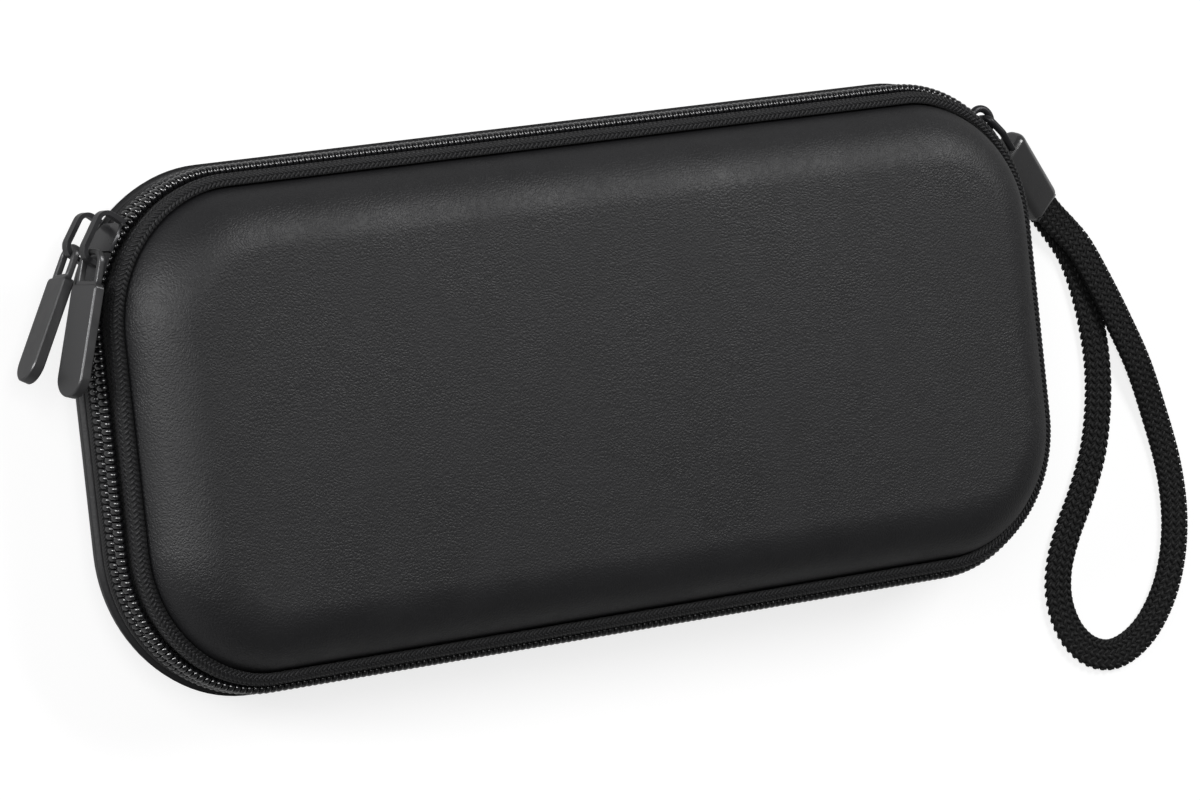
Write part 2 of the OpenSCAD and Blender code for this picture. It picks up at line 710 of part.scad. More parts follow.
// Ring of the strap's flat section at point i: y runs across the strap, z is up
strap_section = [for (p = [[-1, -0.5], [-0.86, -1], [0.86, -1], [1, -0.5],
                           [1, 0.5], [0.86, 1], [-0.86, 1], [-1, 0.5]])
                 [p.x * strap_w / 2, p.y * strap_t / 2]];
function strap_ring(i) =
    let (n = len(strap_line),
         v = strap_line[min(i + 1, n - 1)] - strap_line[max(i - 1, 0)],
         t = v / norm(v),
         side = [-t.y, t.x, 0] / norm([t.x, t.y]),
         up = cross(t, side))
    [for (s = strap_section) strap_line[i] + s.x * side + s.y * up];

module wrist_strap()
    color("#101012") polyhedron([for (i = [0:len(strap_line) - 1]) each strap_ring(i)],
                                tube_faces(len(strap_line), len(strap_section)));

back_shell();
front_shell();
console_cradle();
front_lining();
front_binding();
back_binding();
front_zip_tape();
back_zip_tape();
front_coil();
back_coil();
zip_end_stops();
hinge_tape();
slider_upper();
slider_lower();
pull_front();
pull_rear();
retaining_band_left();
retaining_band_right();
card_flap();
card_sleeves();
mesh_pocket();
pocket_elastic();
anchor_loop();
strap_bail();
strap_ferrule();
wrist_strap();
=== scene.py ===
import math
from contextlib import contextmanager

import bmesh
import bpy
import numpy as np
from mathutils import Matrix, Vector


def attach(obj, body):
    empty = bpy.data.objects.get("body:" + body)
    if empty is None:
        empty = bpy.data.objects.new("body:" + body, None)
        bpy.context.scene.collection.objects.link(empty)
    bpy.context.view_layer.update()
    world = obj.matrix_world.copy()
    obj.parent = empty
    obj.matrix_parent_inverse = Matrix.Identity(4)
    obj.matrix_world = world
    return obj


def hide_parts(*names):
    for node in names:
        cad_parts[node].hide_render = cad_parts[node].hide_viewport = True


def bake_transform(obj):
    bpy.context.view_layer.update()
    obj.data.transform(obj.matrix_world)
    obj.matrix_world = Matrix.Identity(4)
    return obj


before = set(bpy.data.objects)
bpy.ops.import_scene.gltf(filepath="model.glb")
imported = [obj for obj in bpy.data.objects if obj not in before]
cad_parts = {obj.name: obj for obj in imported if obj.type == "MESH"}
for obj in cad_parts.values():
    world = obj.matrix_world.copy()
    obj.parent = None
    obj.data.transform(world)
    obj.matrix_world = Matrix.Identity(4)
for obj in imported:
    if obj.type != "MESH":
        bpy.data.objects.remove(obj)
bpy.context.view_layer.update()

MM = 0.001
QUARTER = math.pi / 2
UP = Vector((0, 0, 1))

# Main sizes of the case in metres, the same as in the solid model
CASE_L = 260 * MM
CASE_W = 117 * MM
CORNER_R = 34.5 * MM
ZIP_Z = 19 * MM
TOP_Z = 37.5 * MM
SHELL_WALL = 2.6 * MM
FACE_CROWN = 0.5 * MM
BACK_BULGE = 2.1 * MM
BACK_EDGE_R = 16 * MM
BACK_RIM_Z = ZIP_Z - 6.2 * MM
FRONT_INSET = 3.6 * MM
FRONT_EDGE_R = 15.5 * MM
FRONT_RIM_Z = ZIP_Z + 3.4 * MM
MID_X = CASE_L / 2 - CORNER_R
MID_Y = CASE_W / 2 - CORNER_R
CORNERS = [(MID_X, MID_Y), (-MID_X, MID_Y), (-MID_X, -MID_Y), (MID_X, -MID_Y)]
CORNER_RUN = CORNER_R * QUARTER
OUTLINE_RUN = 4 * (CORNER_RUN + MID_X + MID_Y)
BACK_WALL_X = CORNER_R + BACK_BULGE
FRONT_WALL_X = CORNER_R - FRONT_INSET

# Zip
COIL_PITCH = 1.62 * MM
COIL_D = 2.6 * MM
ROW_OFF = 1.8 * MM
ZIP_END_A = math.radians(20)
ZIP_START = CORNER_R * ZIP_END_A
ZIP_END = OUTLINE_RUN - 2 * MID_Y - ZIP_START

# Binding
BINDING_H = 4.4 * MM
BINDING_OUT = CORNER_R - 0.6 * MM
BINDING_ROUND = 1.5 * MM
YARN_PITCH = 1.25 * MM
YARN_SIZE = (1.05 * MM, 0.42 * MM, 0.3 * MM)

# Wrist strap
STRAP_W = 8 * MM
STRAP_T = 1.8 * MM
BRAID_PITCH = 1.9 * MM
BRAID_YARN = (BRAID_PITCH * 0.62, 0.6 * MM, 0.4 * MM)

# Photographed view
CAMERA_AT = Vector((-0.89643, 0.08739, 1.35424))
CAMERA_FORWARD = Vector((0.55782, -0.05741, -0.82798))
CAMERA_UP = Vector((0.12062, 0.99262, 0.01244))
FOCAL_PX = 6918.2
IMAGE_W = 1200

# White added to the floor for the camera, the share of it that reflections see, and the lights' aim
FLOOR_GLOW = 0.78
FLOOR_MIRRORED = 0.15
LIGHTS_AIM = Vector((0, 0, 0.03))

# Zip tapes, as distances out from the corner centres
TAPE_OUT = CORNER_R - COIL_D / 2 - 0.4 * MM
TAPE_T = 0.6 * MM
TAPE_EDGE = 0.6 * MM
TAPE_TURN_Z = FRONT_RIM_Z - 0.1 * MM
SEWN_X = FRONT_WALL_X - SHELL_WALL - 0.2 * MM
SEWN_Z = FRONT_RIM_Z + 1.5 * MM
TAPE_FOOT_Z = BACK_RIM_Z - 0.9 * MM
HINGE_T = 0.8 * MM
HINGE_END_A = ZIP_END_A - math.radians(4)

# Pulls: bar of each, swing of the tab from -Y outwards, turn about its length, length
PULL_W, PULL_T = 9.1 * MM, 2.8 * MM
EYE_Y, EYE_R, EYE_T, EYE_WIRE = 3.25 * MM, 2.5 * MM, 1.6 * MM, 1.24 * MM
TAB_X = 7.6 * MM
PULLS = [("pull_front", "front_pull", (-130.3613 * MM, 44.0657 * MM, ZIP_Z + 5.1 * MM), 17.5, -6.5, 33 * MM),
         ("pull_rear", "rear_pull", (-129.6084 * MM, 45.1996 * MM, ZIP_Z - 5.35 * MM), 29, 6, 32.5 * MM)]

# Ferrule: end by the bail, turn in plan, tilt down, size
PIN_AT = (127.2174 * MM, 48.7804 * MM)
FERRULE_A, FERRULE_TILT = math.radians(-46), math.radians(21)
FERRULE_RUN, FERRULE_Z = 10.276 * MM, 11.938 * MM
FERRULE_W, FERRULE_T, FERRULE_L = 10.6 * MM, 6.6 * MM, 24 * MM
SLOT_W, SLOT_T, SLOT_DEEP = 8.5 * MM, 4.3 * MM, 4.4 * MM

# Inside
BAY_X, BAY_Y, BAY_R = 96.5 * MM, 27.5 * MM, 24 * MM
BAY_FLOOR = 6 * MM
CRADLE_SIDE_X = CORNER_R - 4.2 * MM
CRADLE_TOP = ZIP_Z - 1.4 * MM
THUMB_SPOTS = [(-100.5 * MM, 12.4 * MM), (100.5 * MM, -12.4 * MM)]
FLAP_X, FLAP_Y, FLAP_R = 88 * MM, 34 * MM, 12 * MM
FLAP_Z, FLAP_T = 18.85 * MM, 2.6 * MM
BAND_X, BAND_W, BAND_T = 72 * MM, 18 * MM, 0.9 * MM
LINING_X = SEWN_X - HINGE_T - 0.05 * MM
LINING_R = 12.3 * MM
LINING_TOP = TOP_Z - SHELL_WALL - 0.05 * MM
POCKET_Z = 23.95 * MM
POCKET_R = 25.94 * MM
POCKET_OPEN_Y = 30 * MM
ELASTIC_X, ELASTIC_W = 119.6 * MM, 5 * MM


def add_camera():
    """Camera of the photograph, from its fitted place, direction and focal length."""
    data = bpy.data.cameras.new("camera")
    data.sensor_width = 36
    data.lens = FOCAL_PX / IMAGE_W * data.sensor_width
    data.clip_start = 0.05
    data.clip_end = 20
    camera = bpy.data.objects.new("camera", data)
    bpy.context.collection.objects.link(camera)
    right = CAMERA_FORWARD.cross(CAMERA_UP).normalized()
    up = right.cross(CAMERA_FORWARD).normalized()
    turn = Matrix((right, up, -CAMERA_FORWARD.normalized())).transposed()
    camera.matrix_world = Matrix.Translation(CAMERA_AT) @ turn.to_4x4()
    bpy.context.scene.camera = camera


# Meshes

def new_piece(name, verts, faces, smooth=True):
    """Mesh object at the origin, linked to the scene."""
    mesh = bpy.data.meshes.new(name)
    mesh.from_pydata([tuple(v) for v in verts], [], faces)
    mesh.validate()
    piece = bpy.data.objects.new(name, mesh)
    bpy.context.collection.objects.link(piece)
    if smooth:
        smooth_all(piece)
    return piece


def smooth_all(piece):
    """Smooth shading on every face."""
    piece.data.polygons.foreach_set("use_smooth", [True] * len(piece.data.polygons))


@contextmanager
def edited(piece):
    """The piece's mesh for bmesh, written back at the end of the with block."""
    mesh = bmesh.new()
    mesh.from_mesh(piece.data)
    yield mesh
    mesh.to_mesh(piece.data)
    mesh.free()


def outline(steps=14, spacing=6 * MM):
    """Stations round the case: base point, outward direction and length along the zip line."""
    stations = []
    run = 0.0
    for k, (cx, cy) in enumerate(CORNERS):
        for i in range(steps + 1):
            a = QUARTER * (k + i / steps)
            stations.append((cx, cy, math.cos(a), math.sin(a), run + CORNER_RUN * i / steps))
        run += CORNER_RUN
        nx, ny = CORNERS[(k + 1) % 4]
        side = math.hypot(nx - cx, ny - cy)
        count = max(2, round(side / spacing))
        a = QUARTER * (k + 1)
        for i in range(1, count):
            t = i / count
            stations.append((cx + (nx - cx) * t, cy + (ny - cy) * t, math.cos(a), math.sin(a),
                             run + side * t))
        run += side
    return stations


def outline_point(s):
    """Base point and outward direction at the length s along the zip line."""
    s = s % OUTLINE_RUN
    for k, (cx, cy) in enumerate(CORNERS):
        if s < CORNER_RUN:
            a = QUARTER * (k + s / CORNER_RUN)
            return cx, cy, math.cos(a), math.sin(a)
        s -= CORNER_RUN
        nx, ny = CORNERS[(k + 1) % 4]
        side = math.hypot(nx - cx, ny - cy)
        if s < side:
            t = s / side
            a = QUARTER * (k + 1)
            return cx + (nx - cx) * t, cy + (ny - cy) * t, math.cos(a), math.sin(a)
        s -= side
    return *CORNERS[0], 1.0, 0.0


def outline_vectors(s):
    """The same as vectors: base point, outward and forward direction."""
    x, y, ox, oy = outline_point(s)
    return Vector((x, y, 0)), Vector((ox, oy, 0)), Vector((-oy, ox, 0))


def part_outline(first, last, spacing=3 * MM):
    """Stations from the length first to the length last, which may pass the whole outline's end."""
    count = math.ceil((last - first) / spacing)
    lengths = [first + (last - first) * i / count for i in range(count + 1)]
    return [(*outline_point(s), s) for s in lengths]


def sweep(name, section, stations, closed=True, loop=True):
    """Sweeps a section of (distance out, height) points round the stations, with a UV map in metres."""
    n, m = len(stations), len(section)
    verts = [(x + nx * u, y + ny * u, z) for x, y, nx, ny, _ in stations for u, z in section]
    rounds = n if loop else n - 1
    spans = m if closed else m - 1
    faces = []
    for i in range(rounds):
        j = (i + 1) % n
        for k in range(spans):
            l = (k + 1) % m
            faces.append((i * m + k, j * m + k, j * m + l, i * m + l))
    if closed and not loop:
        faces.append(tuple(range(m)))
        faces.append(tuple((n - 1) * m + k for k in reversed(range(m))))
    piece = new_piece(name, verts, faces)
    add_sweep_uv(piece, section, stations, closed, loop)
    face_outwards(piece)
    return piece


def add_sweep_uv(piece, section, stations, closed, loop):
    """UV map of a sweep: u runs along it and v round its section, both in metres."""
    m = len(section)
    across = [0.0]
    for k in range(1, m + 1):
        a, b = section[k - 1], section[k % m]
        across.append(across[-1] + math.hypot(b[0] - a[0], b[1] - a[1]))
    layer = piece.data.uv_layers.new(name="along")
    n = len(stations)
    for polygon in piece.data.polygons:
        ids = list(polygon.vertices)
        rows = [v // m for v in ids]
        cols = [v % m for v in ids]
        for loop_i, row, col in zip(polygon.loop_indices, rows, cols):
            u = stations[row][4]
            if loop and row == 0 and max(rows) == n - 1:
                u += OUTLINE_RUN
            v = across[m] if closed and col == 0 and max(cols) == m - 1 and len(ids) == 4 else across[col]
            layer.data[loop_i].uv = (u, v)


def face_outwards(piece):
    """Turns the faces of a closed piece outwards."""
    with edited(piece) as mesh:
        bmesh.ops.recalc_face_normals(mesh, faces=mesh.faces)


def apply_modifiers(piece):
    """Turns the evaluated piece into a plain mesh and drops its modifiers."""
    bpy.context.view_layer.update()
    graph = bpy.context.evaluated_depsgraph_get()
    mesh = bpy.data.meshes.new_from_object(piece.evaluated_get(graph), depsgraph=graph)
    piece.modifiers.clear()
    piece.data = mesh


def arc(cx, cz, r, a0, a1, steps):
    """Points on an arc of a section, angles in degrees."""
    return [(cx + r * math.cos(math.radians(a0 + (a1 - a0) * i / steps)),
             cz + r * math.sin(math.radians(a0 + (a1 - a0) * i / steps))) for i in range(steps + 1)]


def ring_faces(rings, sides, capped=True, looped=False):
    """Faces between rings of as many points each, with a cap at each end or back to the first ring."""
    faces = []
    for i in range(rings if looped else rings - 1):
        j = (i + 1) % rings
        for k in range(sides):
            l = (k + 1) % sides
            faces.append((i * sides + k, i * sides + l, j * sides + l, j * sides + k))
    if capped:
        faces += [tuple(reversed(range(sides))), tuple((rings - 1) * sides + k for k in range(sides))]
    return faces


def ring_loft(name, rings, long_n, short_n, steps=10):
    """Closed soft block through rounded rectangles: half sizes to the corner centres, radius and height."""

    def ring(cx, cy, radius, z):
        corners = [(cx, cy), (-cx, cy), (-cx, -cy), (cx, -cy)]
        points = []
        for k, (x, y) in enumerate(corners):
            nx, ny = corners[(k + 1) % 4]
            for i in range(steps + 1):
                a = QUARTER * (k + i / steps)
                points.append((x + radius * math.cos(a), y + radius * math.sin(a), z))
            a = QUARTER * (k + 1)
            ex, ey = math.cos(a) * radius, math.sin(a) * radius
            count = long_n if k % 2 == 0 else short_n
            points += [(x + (nx - x) * i / count + ex, y + (ny - y) * i / count + ey, z)
                       for i in range(1, count)]
        return points

    loops = [ring(*values) for values in rings]
    piece = new_piece(name, [v for loop in loops for v in loop],
                      ring_faces(len(loops), len(loops[0]), capped=False))
    with edited(piece) as mesh:
        for cx, cy, _, z in (rings[0], rings[-1]):
            fill_rectangle(mesh, [cx * (2 * i / long_n - 1) for i in range(long_n + 1)],
                           [cy * (2 * j / short_n - 1) for j in range(short_n + 1)], z)
        close_up(mesh)
    smooth_all(piece)
    return piece


def fill_rectangle(mesh, xs, ys, z):
    """Grid of faces over a rectangle at one height."""
    grid = [[mesh.verts.new((x, y, z)) for y in ys] for x in xs]
    for i in range(len(xs) - 1):
        for j in range(len(ys) - 1):
            mesh.faces.new((grid[i][j], grid[i + 1][j], grid[i + 1][j + 1], grid[i][j + 1]))


def close_up(mesh):
    """Merges the points that lie on each other and turns all faces outwards."""
    bmesh.ops.remove_doubles(mesh, verts=mesh.verts, dist=0.002 * MM)
    bmesh.ops.dissolve_degenerate(mesh, edges=mesh.edges, dist=0.001 * MM)
    bmesh.ops.recalc_face_normals(mesh, faces=mesh.faces)


def move_verts(piece, shift):
    """Moves each vertex by what shift(x, y, z) returns."""
    for v in piece.data.vertices:
        v.co += Vector(shift(*v.co))
    piece.data.update()


def joined(name, parts):
    """One piece out of several with the same material order."""
    mesh = bmesh.new()
    for part in parts:
        mesh.from_mesh(part.data)
    whole = new_piece(name, [], [])
    mesh.to_mesh(whole.data)
    mesh.free()
    for material in parts[0].data.materials:
        whole.data.materials.append(material)
    for part in parts:
        bpy.data.objects.remove(part)
    smooth_all(whole)
    return whole


def lengths_along(line):
    """Length of the way from the start to each point of a line."""
    run = [0.0]
    for a, b in zip(line, line[1:]):
        run.append(run[-1] + (b - a).length)
    return run


def stretch_at(run, s):
    """Number of the stretch of a line that the length s falls on, and the share of it that s has passed."""
    i = min(max(0, int(np.searchsorted(run, s, side="right")) - 1), len(run) - 2)
    return i, (s - run[i]) / max(run[i + 1] - run[i], 1e-9)


def flat_tape(name, line, half_w, half_t, sides=12, ribs=0.0, rib_pitch=1.0):
    """Flat woven tape along a line, ribbed across where ribs is the depth of the ribs; UV in metres."""
    verts, run = [], lengths_along(line)
    ring = [(math.cos(a), math.sin(a)) for a in [2 * math.pi * (k + 0.5) / sides for k in range(sides)]]
    ring = [(math.copysign(abs(x) ** 0.35, x), math.copysign(abs(y) ** 0.7, y)) for x, y in ring]
    for (point, _, side, up), s in zip(route_frames(line), run):
        thick = half_t - ribs * (0.5 + 0.5 * math.cos(2 * math.pi * s / rib_pitch))
        verts += [point + side * x * half_w + up * y * thick for x, y in ring]
    piece = new_piece(name, verts, ring_faces(len(line), sides))
    layer = piece.data.uv_layers.new(name="along")
    for polygon in piece.data.polygons:
        for loop_i, v in zip(polygon.loop_indices, polygon.vertices):
            layer.data[loop_i].uv = (run[v // sides], ring[v % sides][0] * half_w + half_w)
    face_outwards(piece)
    return piece


def softened(node, name, width):
    """Copy of a CAD node with merged vertices and rounded edges, which replaces it."""
    piece = bpy.data.objects.new(name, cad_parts[node].data.copy())
    bpy.context.collection.objects.link(piece)
    with edited(piece) as mesh:
        bmesh.ops.remove_doubles(mesh, verts=mesh.verts, dist=0.002 * MM)
        bmesh.ops.dissolve_limit(mesh, angle_limit=math.radians(1), verts=mesh.verts, edges=mesh.edges)
    piece.data.materials.clear()
    bevel = piece.modifiers.new("soft_edges", "BEVEL")
    bevel.width = width
    bevel.segments = 3
    bevel.limit_method = "ANGLE"
    bevel.angle_limit = math.radians(35)
    apply_modifiers(piece)
    shade_flats(piece)
    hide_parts(node)
    return piece


# Shader groups

def new_group(name, inputs, outputs):
    """Shader node group with named sockets; returns it with its input and output nodes."""
    group = bpy.data.node_groups.new(name, "ShaderNodeTree")
    for label, kind, value in inputs:
        socket = group.interface.new_socket(label, in_out="INPUT", socket_type=kind)
        if value is not None:
            socket.default_value = value
    for label, kind in outputs:
        group.interface.new_socket(label, in_out="OUTPUT", socket_type=kind)
    start = group.nodes.new("NodeGroupInput")
    end = group.nodes.new("NodeGroupOutput")
    return group, start, end


def add_node(tree, kind, links=(), **settings):
    """Node of the tree with its settings and the links into it, (input name or index, socket or value)."""
    node = tree.nodes.new(kind)
    for key, value in settings.items():
        setattr(node, key, value)
    for key, value in links:
        if isinstance(value, bpy.types.NodeSocket):
            tree.links.new(value, node.inputs[key])
        else:
            node.inputs[key].default_value = value
    return node


def add_math(tree, operation, *values):
    """Result of a math node on sockets or numbers."""
    return add_node(tree, "ShaderNodeMath", enumerate(values), operation=operation).outputs[0]


def add_noise(tree, vector, scale, detail=2.0, roughness=0.5):
    """Noise texture node."""
    return add_node(tree, "ShaderNodeTexNoise", [("Vector", vector), ("Scale", scale), ("Detail", detail),
                                                 ("Roughness", roughness)])


def leather_grain():
    """Fine creased grain of coated synthetic leather, with a slow unevenness: height and shade."""
    group, start, end = new_group(
        "leather_grain",
        [("Vector", "NodeSocketVector", None), ("Cell", "NodeSocketFloat", 900.0),
         ("Crease", "NodeSocketFloat", 0.6)],
        [("Height", "NodeSocketFloat"), ("Shade", "NodeSocketFloat")])
    warp = add_noise(group, start.outputs["Vector"], 240.0)
    bend = add_node(group, "ShaderNodeVectorMath", [(0, warp.outputs["Color"]), (1, (0.0022,) * 3)],
                    operation="MULTIPLY")
    bent = add_node(group, "ShaderNodeVectorMath", [(0, start.outputs["Vector"]), (1, bend.outputs[0])],
                    operation="ADD")
    cells = add_node(group, "ShaderNodeTexVoronoi", [("Vector", bent.outputs[0]),
                                                      ("Scale", start.outputs["Cell"])],
                     feature="DISTANCE_TO_EDGE")
    crease = add_node(group, "ShaderNodeMapRange", [("Value", cells.outputs["Distance"]), ("From Max", 0.3)],
                      interpolation_type="SMOOTHSTEP")
    fine = add_noise(group, start.outputs["Vector"], 2600.0, 3.0, 0.6)
    slow = add_noise(group, start.outputs["Vector"], 95.0, 4.0, 0.55)
    cut = add_math(group, "MULTIPLY", crease.outputs[0], start.outputs["Crease"])
    mixed = add_math(group, "MULTIPLY_ADD", fine.outputs[0], 0.5, cut)
    height = add_math(group, "MULTIPLY_ADD", slow.outputs[0], 0.9, mixed)
    group.links.new(height, end.inputs["Height"])
    group.links.new(slow.outputs[0], end.inputs["Shade"])
    return group


def twill_weave():
    """Herringbone twill on a UV map in metres: slanted threads that turn back at each rib. Its Shade output
    is the height itself, so it paints shade: darker in the grooves between threads and along the rib turns.
    """
    group, start, end = new_group(
        "twill_weave",
        [("UV", "NodeSocketVector", None), ("Thread", "NodeSocketFloat", 1.0),
         ("Rib", "NodeSocketFloat", 2.0), ("Slant", "NodeSocketFloat", 1.2)],
        [("Height", "NodeSocketFloat"), ("Shade", "NodeSocketFloat")])
    parts = add_node(group, "ShaderNodeSeparateXYZ", [(0, start.outputs["UV"])])
    ribs = add_math(group, "PINGPONG", parts.outputs["Y"], start.outputs["Rib"])
    slanted = add_math(group, "MULTIPLY_ADD", ribs, start.outputs["Slant"], parts.outputs["X"])
    turns = add_math(group, "DIVIDE", slanted, start.outputs["Thread"])
    wave = add_math(group, "SINE", add_math(group, "MULTIPLY", turns, 2 * math.pi))
    lifted = add_node(group, "ShaderNodeMapRange", [("Value", wave), ("From Min", -1.0)])
    edge = add_math(group, "DIVIDE", ribs, start.outputs["Rib"])
    crown = add_math(group, "ABSOLUTE", add_math(group, "SUBTRACT", edge, 0.5))
    fall = add_node(group, "ShaderNodeMapRange", [("Value", crown), ("From Min", 0.5), ("From Max", 0.25)],
                    interpolation_type="SMOOTHSTEP")
    height = add_math(group, "MULTIPLY", lifted.outputs[0], fall.outputs[0])
    group.links.new(height, end.inputs["Height"])
    # Shade is the height: painted shade, darker in the grooves and at the rib turns, lighter on the thread
    # crowns
    group.links.new(height, end.inputs["Shade"])
    return group


def uneven_finish():
    """Unevenness of a finish: a value that varies gently between two levels, and a fine speckle."""
    group, start, end = new_group(
        "uneven_finish",
        [("Vector", "NodeSocketVector", None), ("Size", "NodeSocketFloat", 60.0),
         ("Low", "NodeSocketFloat", 0.3), ("High", "NodeSocketFloat", 0.5)],
        [("Value", "NodeSocketFloat"), ("Fine", "NodeSocketFloat")])
    slow = add_noise(group, start.outputs["Vector"], start.outputs["Size"], 4.0)
    value = add_node(group, "ShaderNodeMapRange", [("Value", slow.outputs[0]), ("From Min", 0.3),
                                                    ("From Max", 0.7), ("To Min", start.outputs["Low"]),
                                                    ("To Max", start.outputs["High"])])
    fine = add_noise(group, start.outputs["Vector"], 3500.0)
    group.links.new(value.outputs[0], end.inputs["Value"])
    group.links.new(fine.outputs[0], end.inputs["Fine"])
    return group


def use_group(tree, group, links):
    """Node that uses a shader group."""
    return add_node(tree, "ShaderNodeGroup", links, node_tree=group)


def new_material(name, colour, roughness, metallic=0.0, **sockets):
    """Material with a Principled shader; returns it with its tree, shader and coordinates."""
    material = bpy.data.materials.new(name)
    material.use_nodes = True
    tree = material.node_tree
    shader = tree.nodes["Principled BSDF"]
    shader.inputs["Base Color"].default_value = (*colour, 1)
    shader.inputs["Roughness"].default_value = roughness
    shader.inputs["Metallic"].default_value = metallic
    for key, value in sockets.items():
        shader.inputs[key.replace("_", " ")].default_value = value
    coords = tree.nodes.new("ShaderNodeTexCoord")
    return material, tree, shader, coords


def add_bump(tree, shader, height, strength, depth):
    """Relief too fine for geometry, up to depth metres high."""
    bump = add_node(tree, "ShaderNodeBump", [("Height", height), ("Strength", strength), ("Distance", depth)])
    tree.links.new(bump.outputs[0], shader.inputs["Normal"])


def add_shades(tree, shader, factor, dark, light):
    """Base colour between a dark and a light tone by factor."""
    mix = add_node(tree, "ShaderNodeMix", [("Factor", factor)], data_type="RGBA")
    mix.inputs[6].default_value = (*dark, 1)
    mix.inputs[7].default_value = (*light, 1)
    tree.links.new(mix.outputs[2], shader.inputs["Base Color"])


def net_cloth(name, colour, cell):
    """Open warp-knit net: thin threads round hexagonal holes, on the flat piece's own coordinates."""
    material, tree, shader, coords = new_material(name, colour, 0.7)
    cells = add_node(tree, "ShaderNodeTexVoronoi", [("Vector", coords.outputs["Object"]),
                                                     ("Scale", 1 / cell), ("Randomness", 0.12)],
                     feature="DISTANCE_TO_EDGE", voronoi_dimensions="2D")
    thread = add_node(tree, "ShaderNodeMapRange", [("Value", cells.outputs["Distance"]), ("From Min", 0.16),
                                                    ("From Max", 0.2), ("To Min", 1.0), ("To Max", 0.0)])
    tree.links.new(thread.outputs[0], shader.inputs["Alpha"])
    return material


GRAIN = leather_grain()
TWILL = twill_weave()
UNEVEN = uneven_finish()


def shell_leather(name, dark, light, roughness, cell, bump):
    """Satin synthetic leather on the moulded shells."""
    material, tree, shader, coords = new_material(name, dark, roughness, Specular_IOR_Level=0.5)
    grain = use_group(tree, GRAIN, [("Vector", coords.outputs["Object"]), ("Cell", cell)])
    uneven = use_group(tree, UNEVEN, [("Vector", coords.outputs["Object"]), ("Size", 45.0),
                                      ("Low", roughness - 0.05), ("High", roughness + 0.06)])
    add_shades(tree, shader, grain.outputs["Shade"], dark, light)
    tree.links.new(uneven.outputs["Value"], shader.inputs["Roughness"])
    add_bump(tree, shader, grain.outputs["Height"], bump, 0.12 * MM)
    return material


def woven_tape(name, dark, light, thread, rib, slant=1.1, bump=0.8, depth=0.25 * MM):
    """Woven tape in herringbone, on the sweep's UV map, its colour darker in the weave's grooves as painted
    shade.
    """
    material, tree, shader, coords = new_material(name, dark, 0.72, Sheen_Weight=0.06, Sheen_Roughness=0.5)
    weave = use_group(tree, TWILL, [("UV", coords.outputs["UV"]), ("Thread", thread), ("Rib", rib),
                                    ("Slant", slant)])
    fuzz = use_group(tree, UNEVEN, [("Vector", coords.outputs["Object"])])
    # Colour by the weave's height: painted shade in the grooves, lighter thread crowns
    add_shades(tree, shader, weave.outputs["Shade"], dark, light)
    height = add_math(tree, "MULTIPLY_ADD", fuzz.outputs["Fine"], 0.25, weave.outputs["Height"])
    add_bump(tree, shader, height, bump, depth)
    return material


def yarn_fabric(name, dark, light, roughness=0.7, fine=2200.0, bump=0.5):
    """Twisted yarn or brushed cloth, with fibres too fine to model."""
    material, tree, shader, coords = new_material(name, dark, roughness, Sheen_Weight=0.03,
                                                  Sheen_Roughness=0.5, Specular_IOR_Level=0.32)
    fibres = add_noise(tree, coords.outputs["Object"], fine, 3.0)
    add_shades(tree, shader, fibres.outputs[0], dark, light)
    add_bump(tree, shader, fibres.outputs[0], bump, 0.1 * MM)
    return material


def satin_finish(name, colour, light, roughness, metallic, coat=0.0, bump=0.06):
    """Dark coated metal or moulded plastic, with a slightly uneven satin surface."""
    material, tree, shader, coords = new_material(name, colour, roughness, metallic, Coat_Weight=coat,
                                                  Coat_Roughness=0.15)
    uneven = use_group(tree, UNEVEN, [("Vector", coords.outputs["Object"]), ("Size", 220.0),
                                      ("Low", roughness - 0.06), ("High", roughness + 0.06)])
    tree.links.new(uneven.outputs["Value"], shader.inputs["Roughness"])
    add_shades(tree, shader, uneven.outputs["Fine"], colour, light)
    add_bump(tree, shader, uneven.outputs["Fine"], bump, 0.02 * MM)
    return material


FRONT_LEATHER = shell_leather("front_leather", (0.007, 0.007, 0.0078), (0.0135, 0.0135, 0.015), 0.52,
                              1250.0, 0.62)
BACK_LEATHER = shell_leather("back_leather", (0.012, 0.012, 0.013), (0.018, 0.018, 0.019), 0.45,
                             1150.0, 0.25)
BINDING_CORE = woven_tape("binding_weave", (0.004, 0.004, 0.0045), (0.012, 0.012, 0.013), 1.2 * MM, 1.5 * MM)
BINDING_YARN = yarn_fabric("binding_yarn", (0.005, 0.005, 0.0055), (0.015, 0.015, 0.0165), 0.5)
TAPE_WEAVE = woven_tape("zip_tape_weave", (0.005, 0.005, 0.0055), (0.012, 0.012, 0.013), 0.8 * MM, 0.8 * MM,
                        bump=0.6)
COIL_PLASTIC = satin_finish("coil_plastic", (0.006, 0.006, 0.007), (0.009, 0.009, 0.01), 0.17, 0.0, 1.0)
SLIDER_METAL = satin_finish("slider_metal", (0.03, 0.03, 0.032), (0.045, 0.045, 0.048), 0.3, 0.6, 0.3)
PULL_METAL = satin_finish("pull_metal", (0.08, 0.08, 0.082), (0.095, 0.095, 0.097), 0.34, 0.65)
FERRULE_PLASTIC = satin_finish("ferrule_plastic", (0.034, 0.034, 0.035), (0.042, 0.042, 0.043), 0.28, 0.0,
                               1.0)
WIRE_COATING = satin_finish("wire_coating", (0.02, 0.02, 0.022), (0.028, 0.028, 0.03), 0.35, 0.3)
STRAP_YARN = yarn_fabric("strap_yarn", (0.001, 0.001, 0.0011), (0.0035, 0.0035, 0.0038), 0.6, 2600.0)
FLAP_TAPE = yarn_fabric("flap_tape", (0.012, 0.012, 0.013), (0.024, 0.024, 0.026), 0.75, 1800.0)
THREAD = yarn_fabric("sewing_thread", (0.03, 0.03, 0.032), (0.055, 0.055, 0.058), 0.55, 3000.0)
NET = net_cloth("pocket_net", (0.012, 0.012, 0.013), 1.9 * MM)
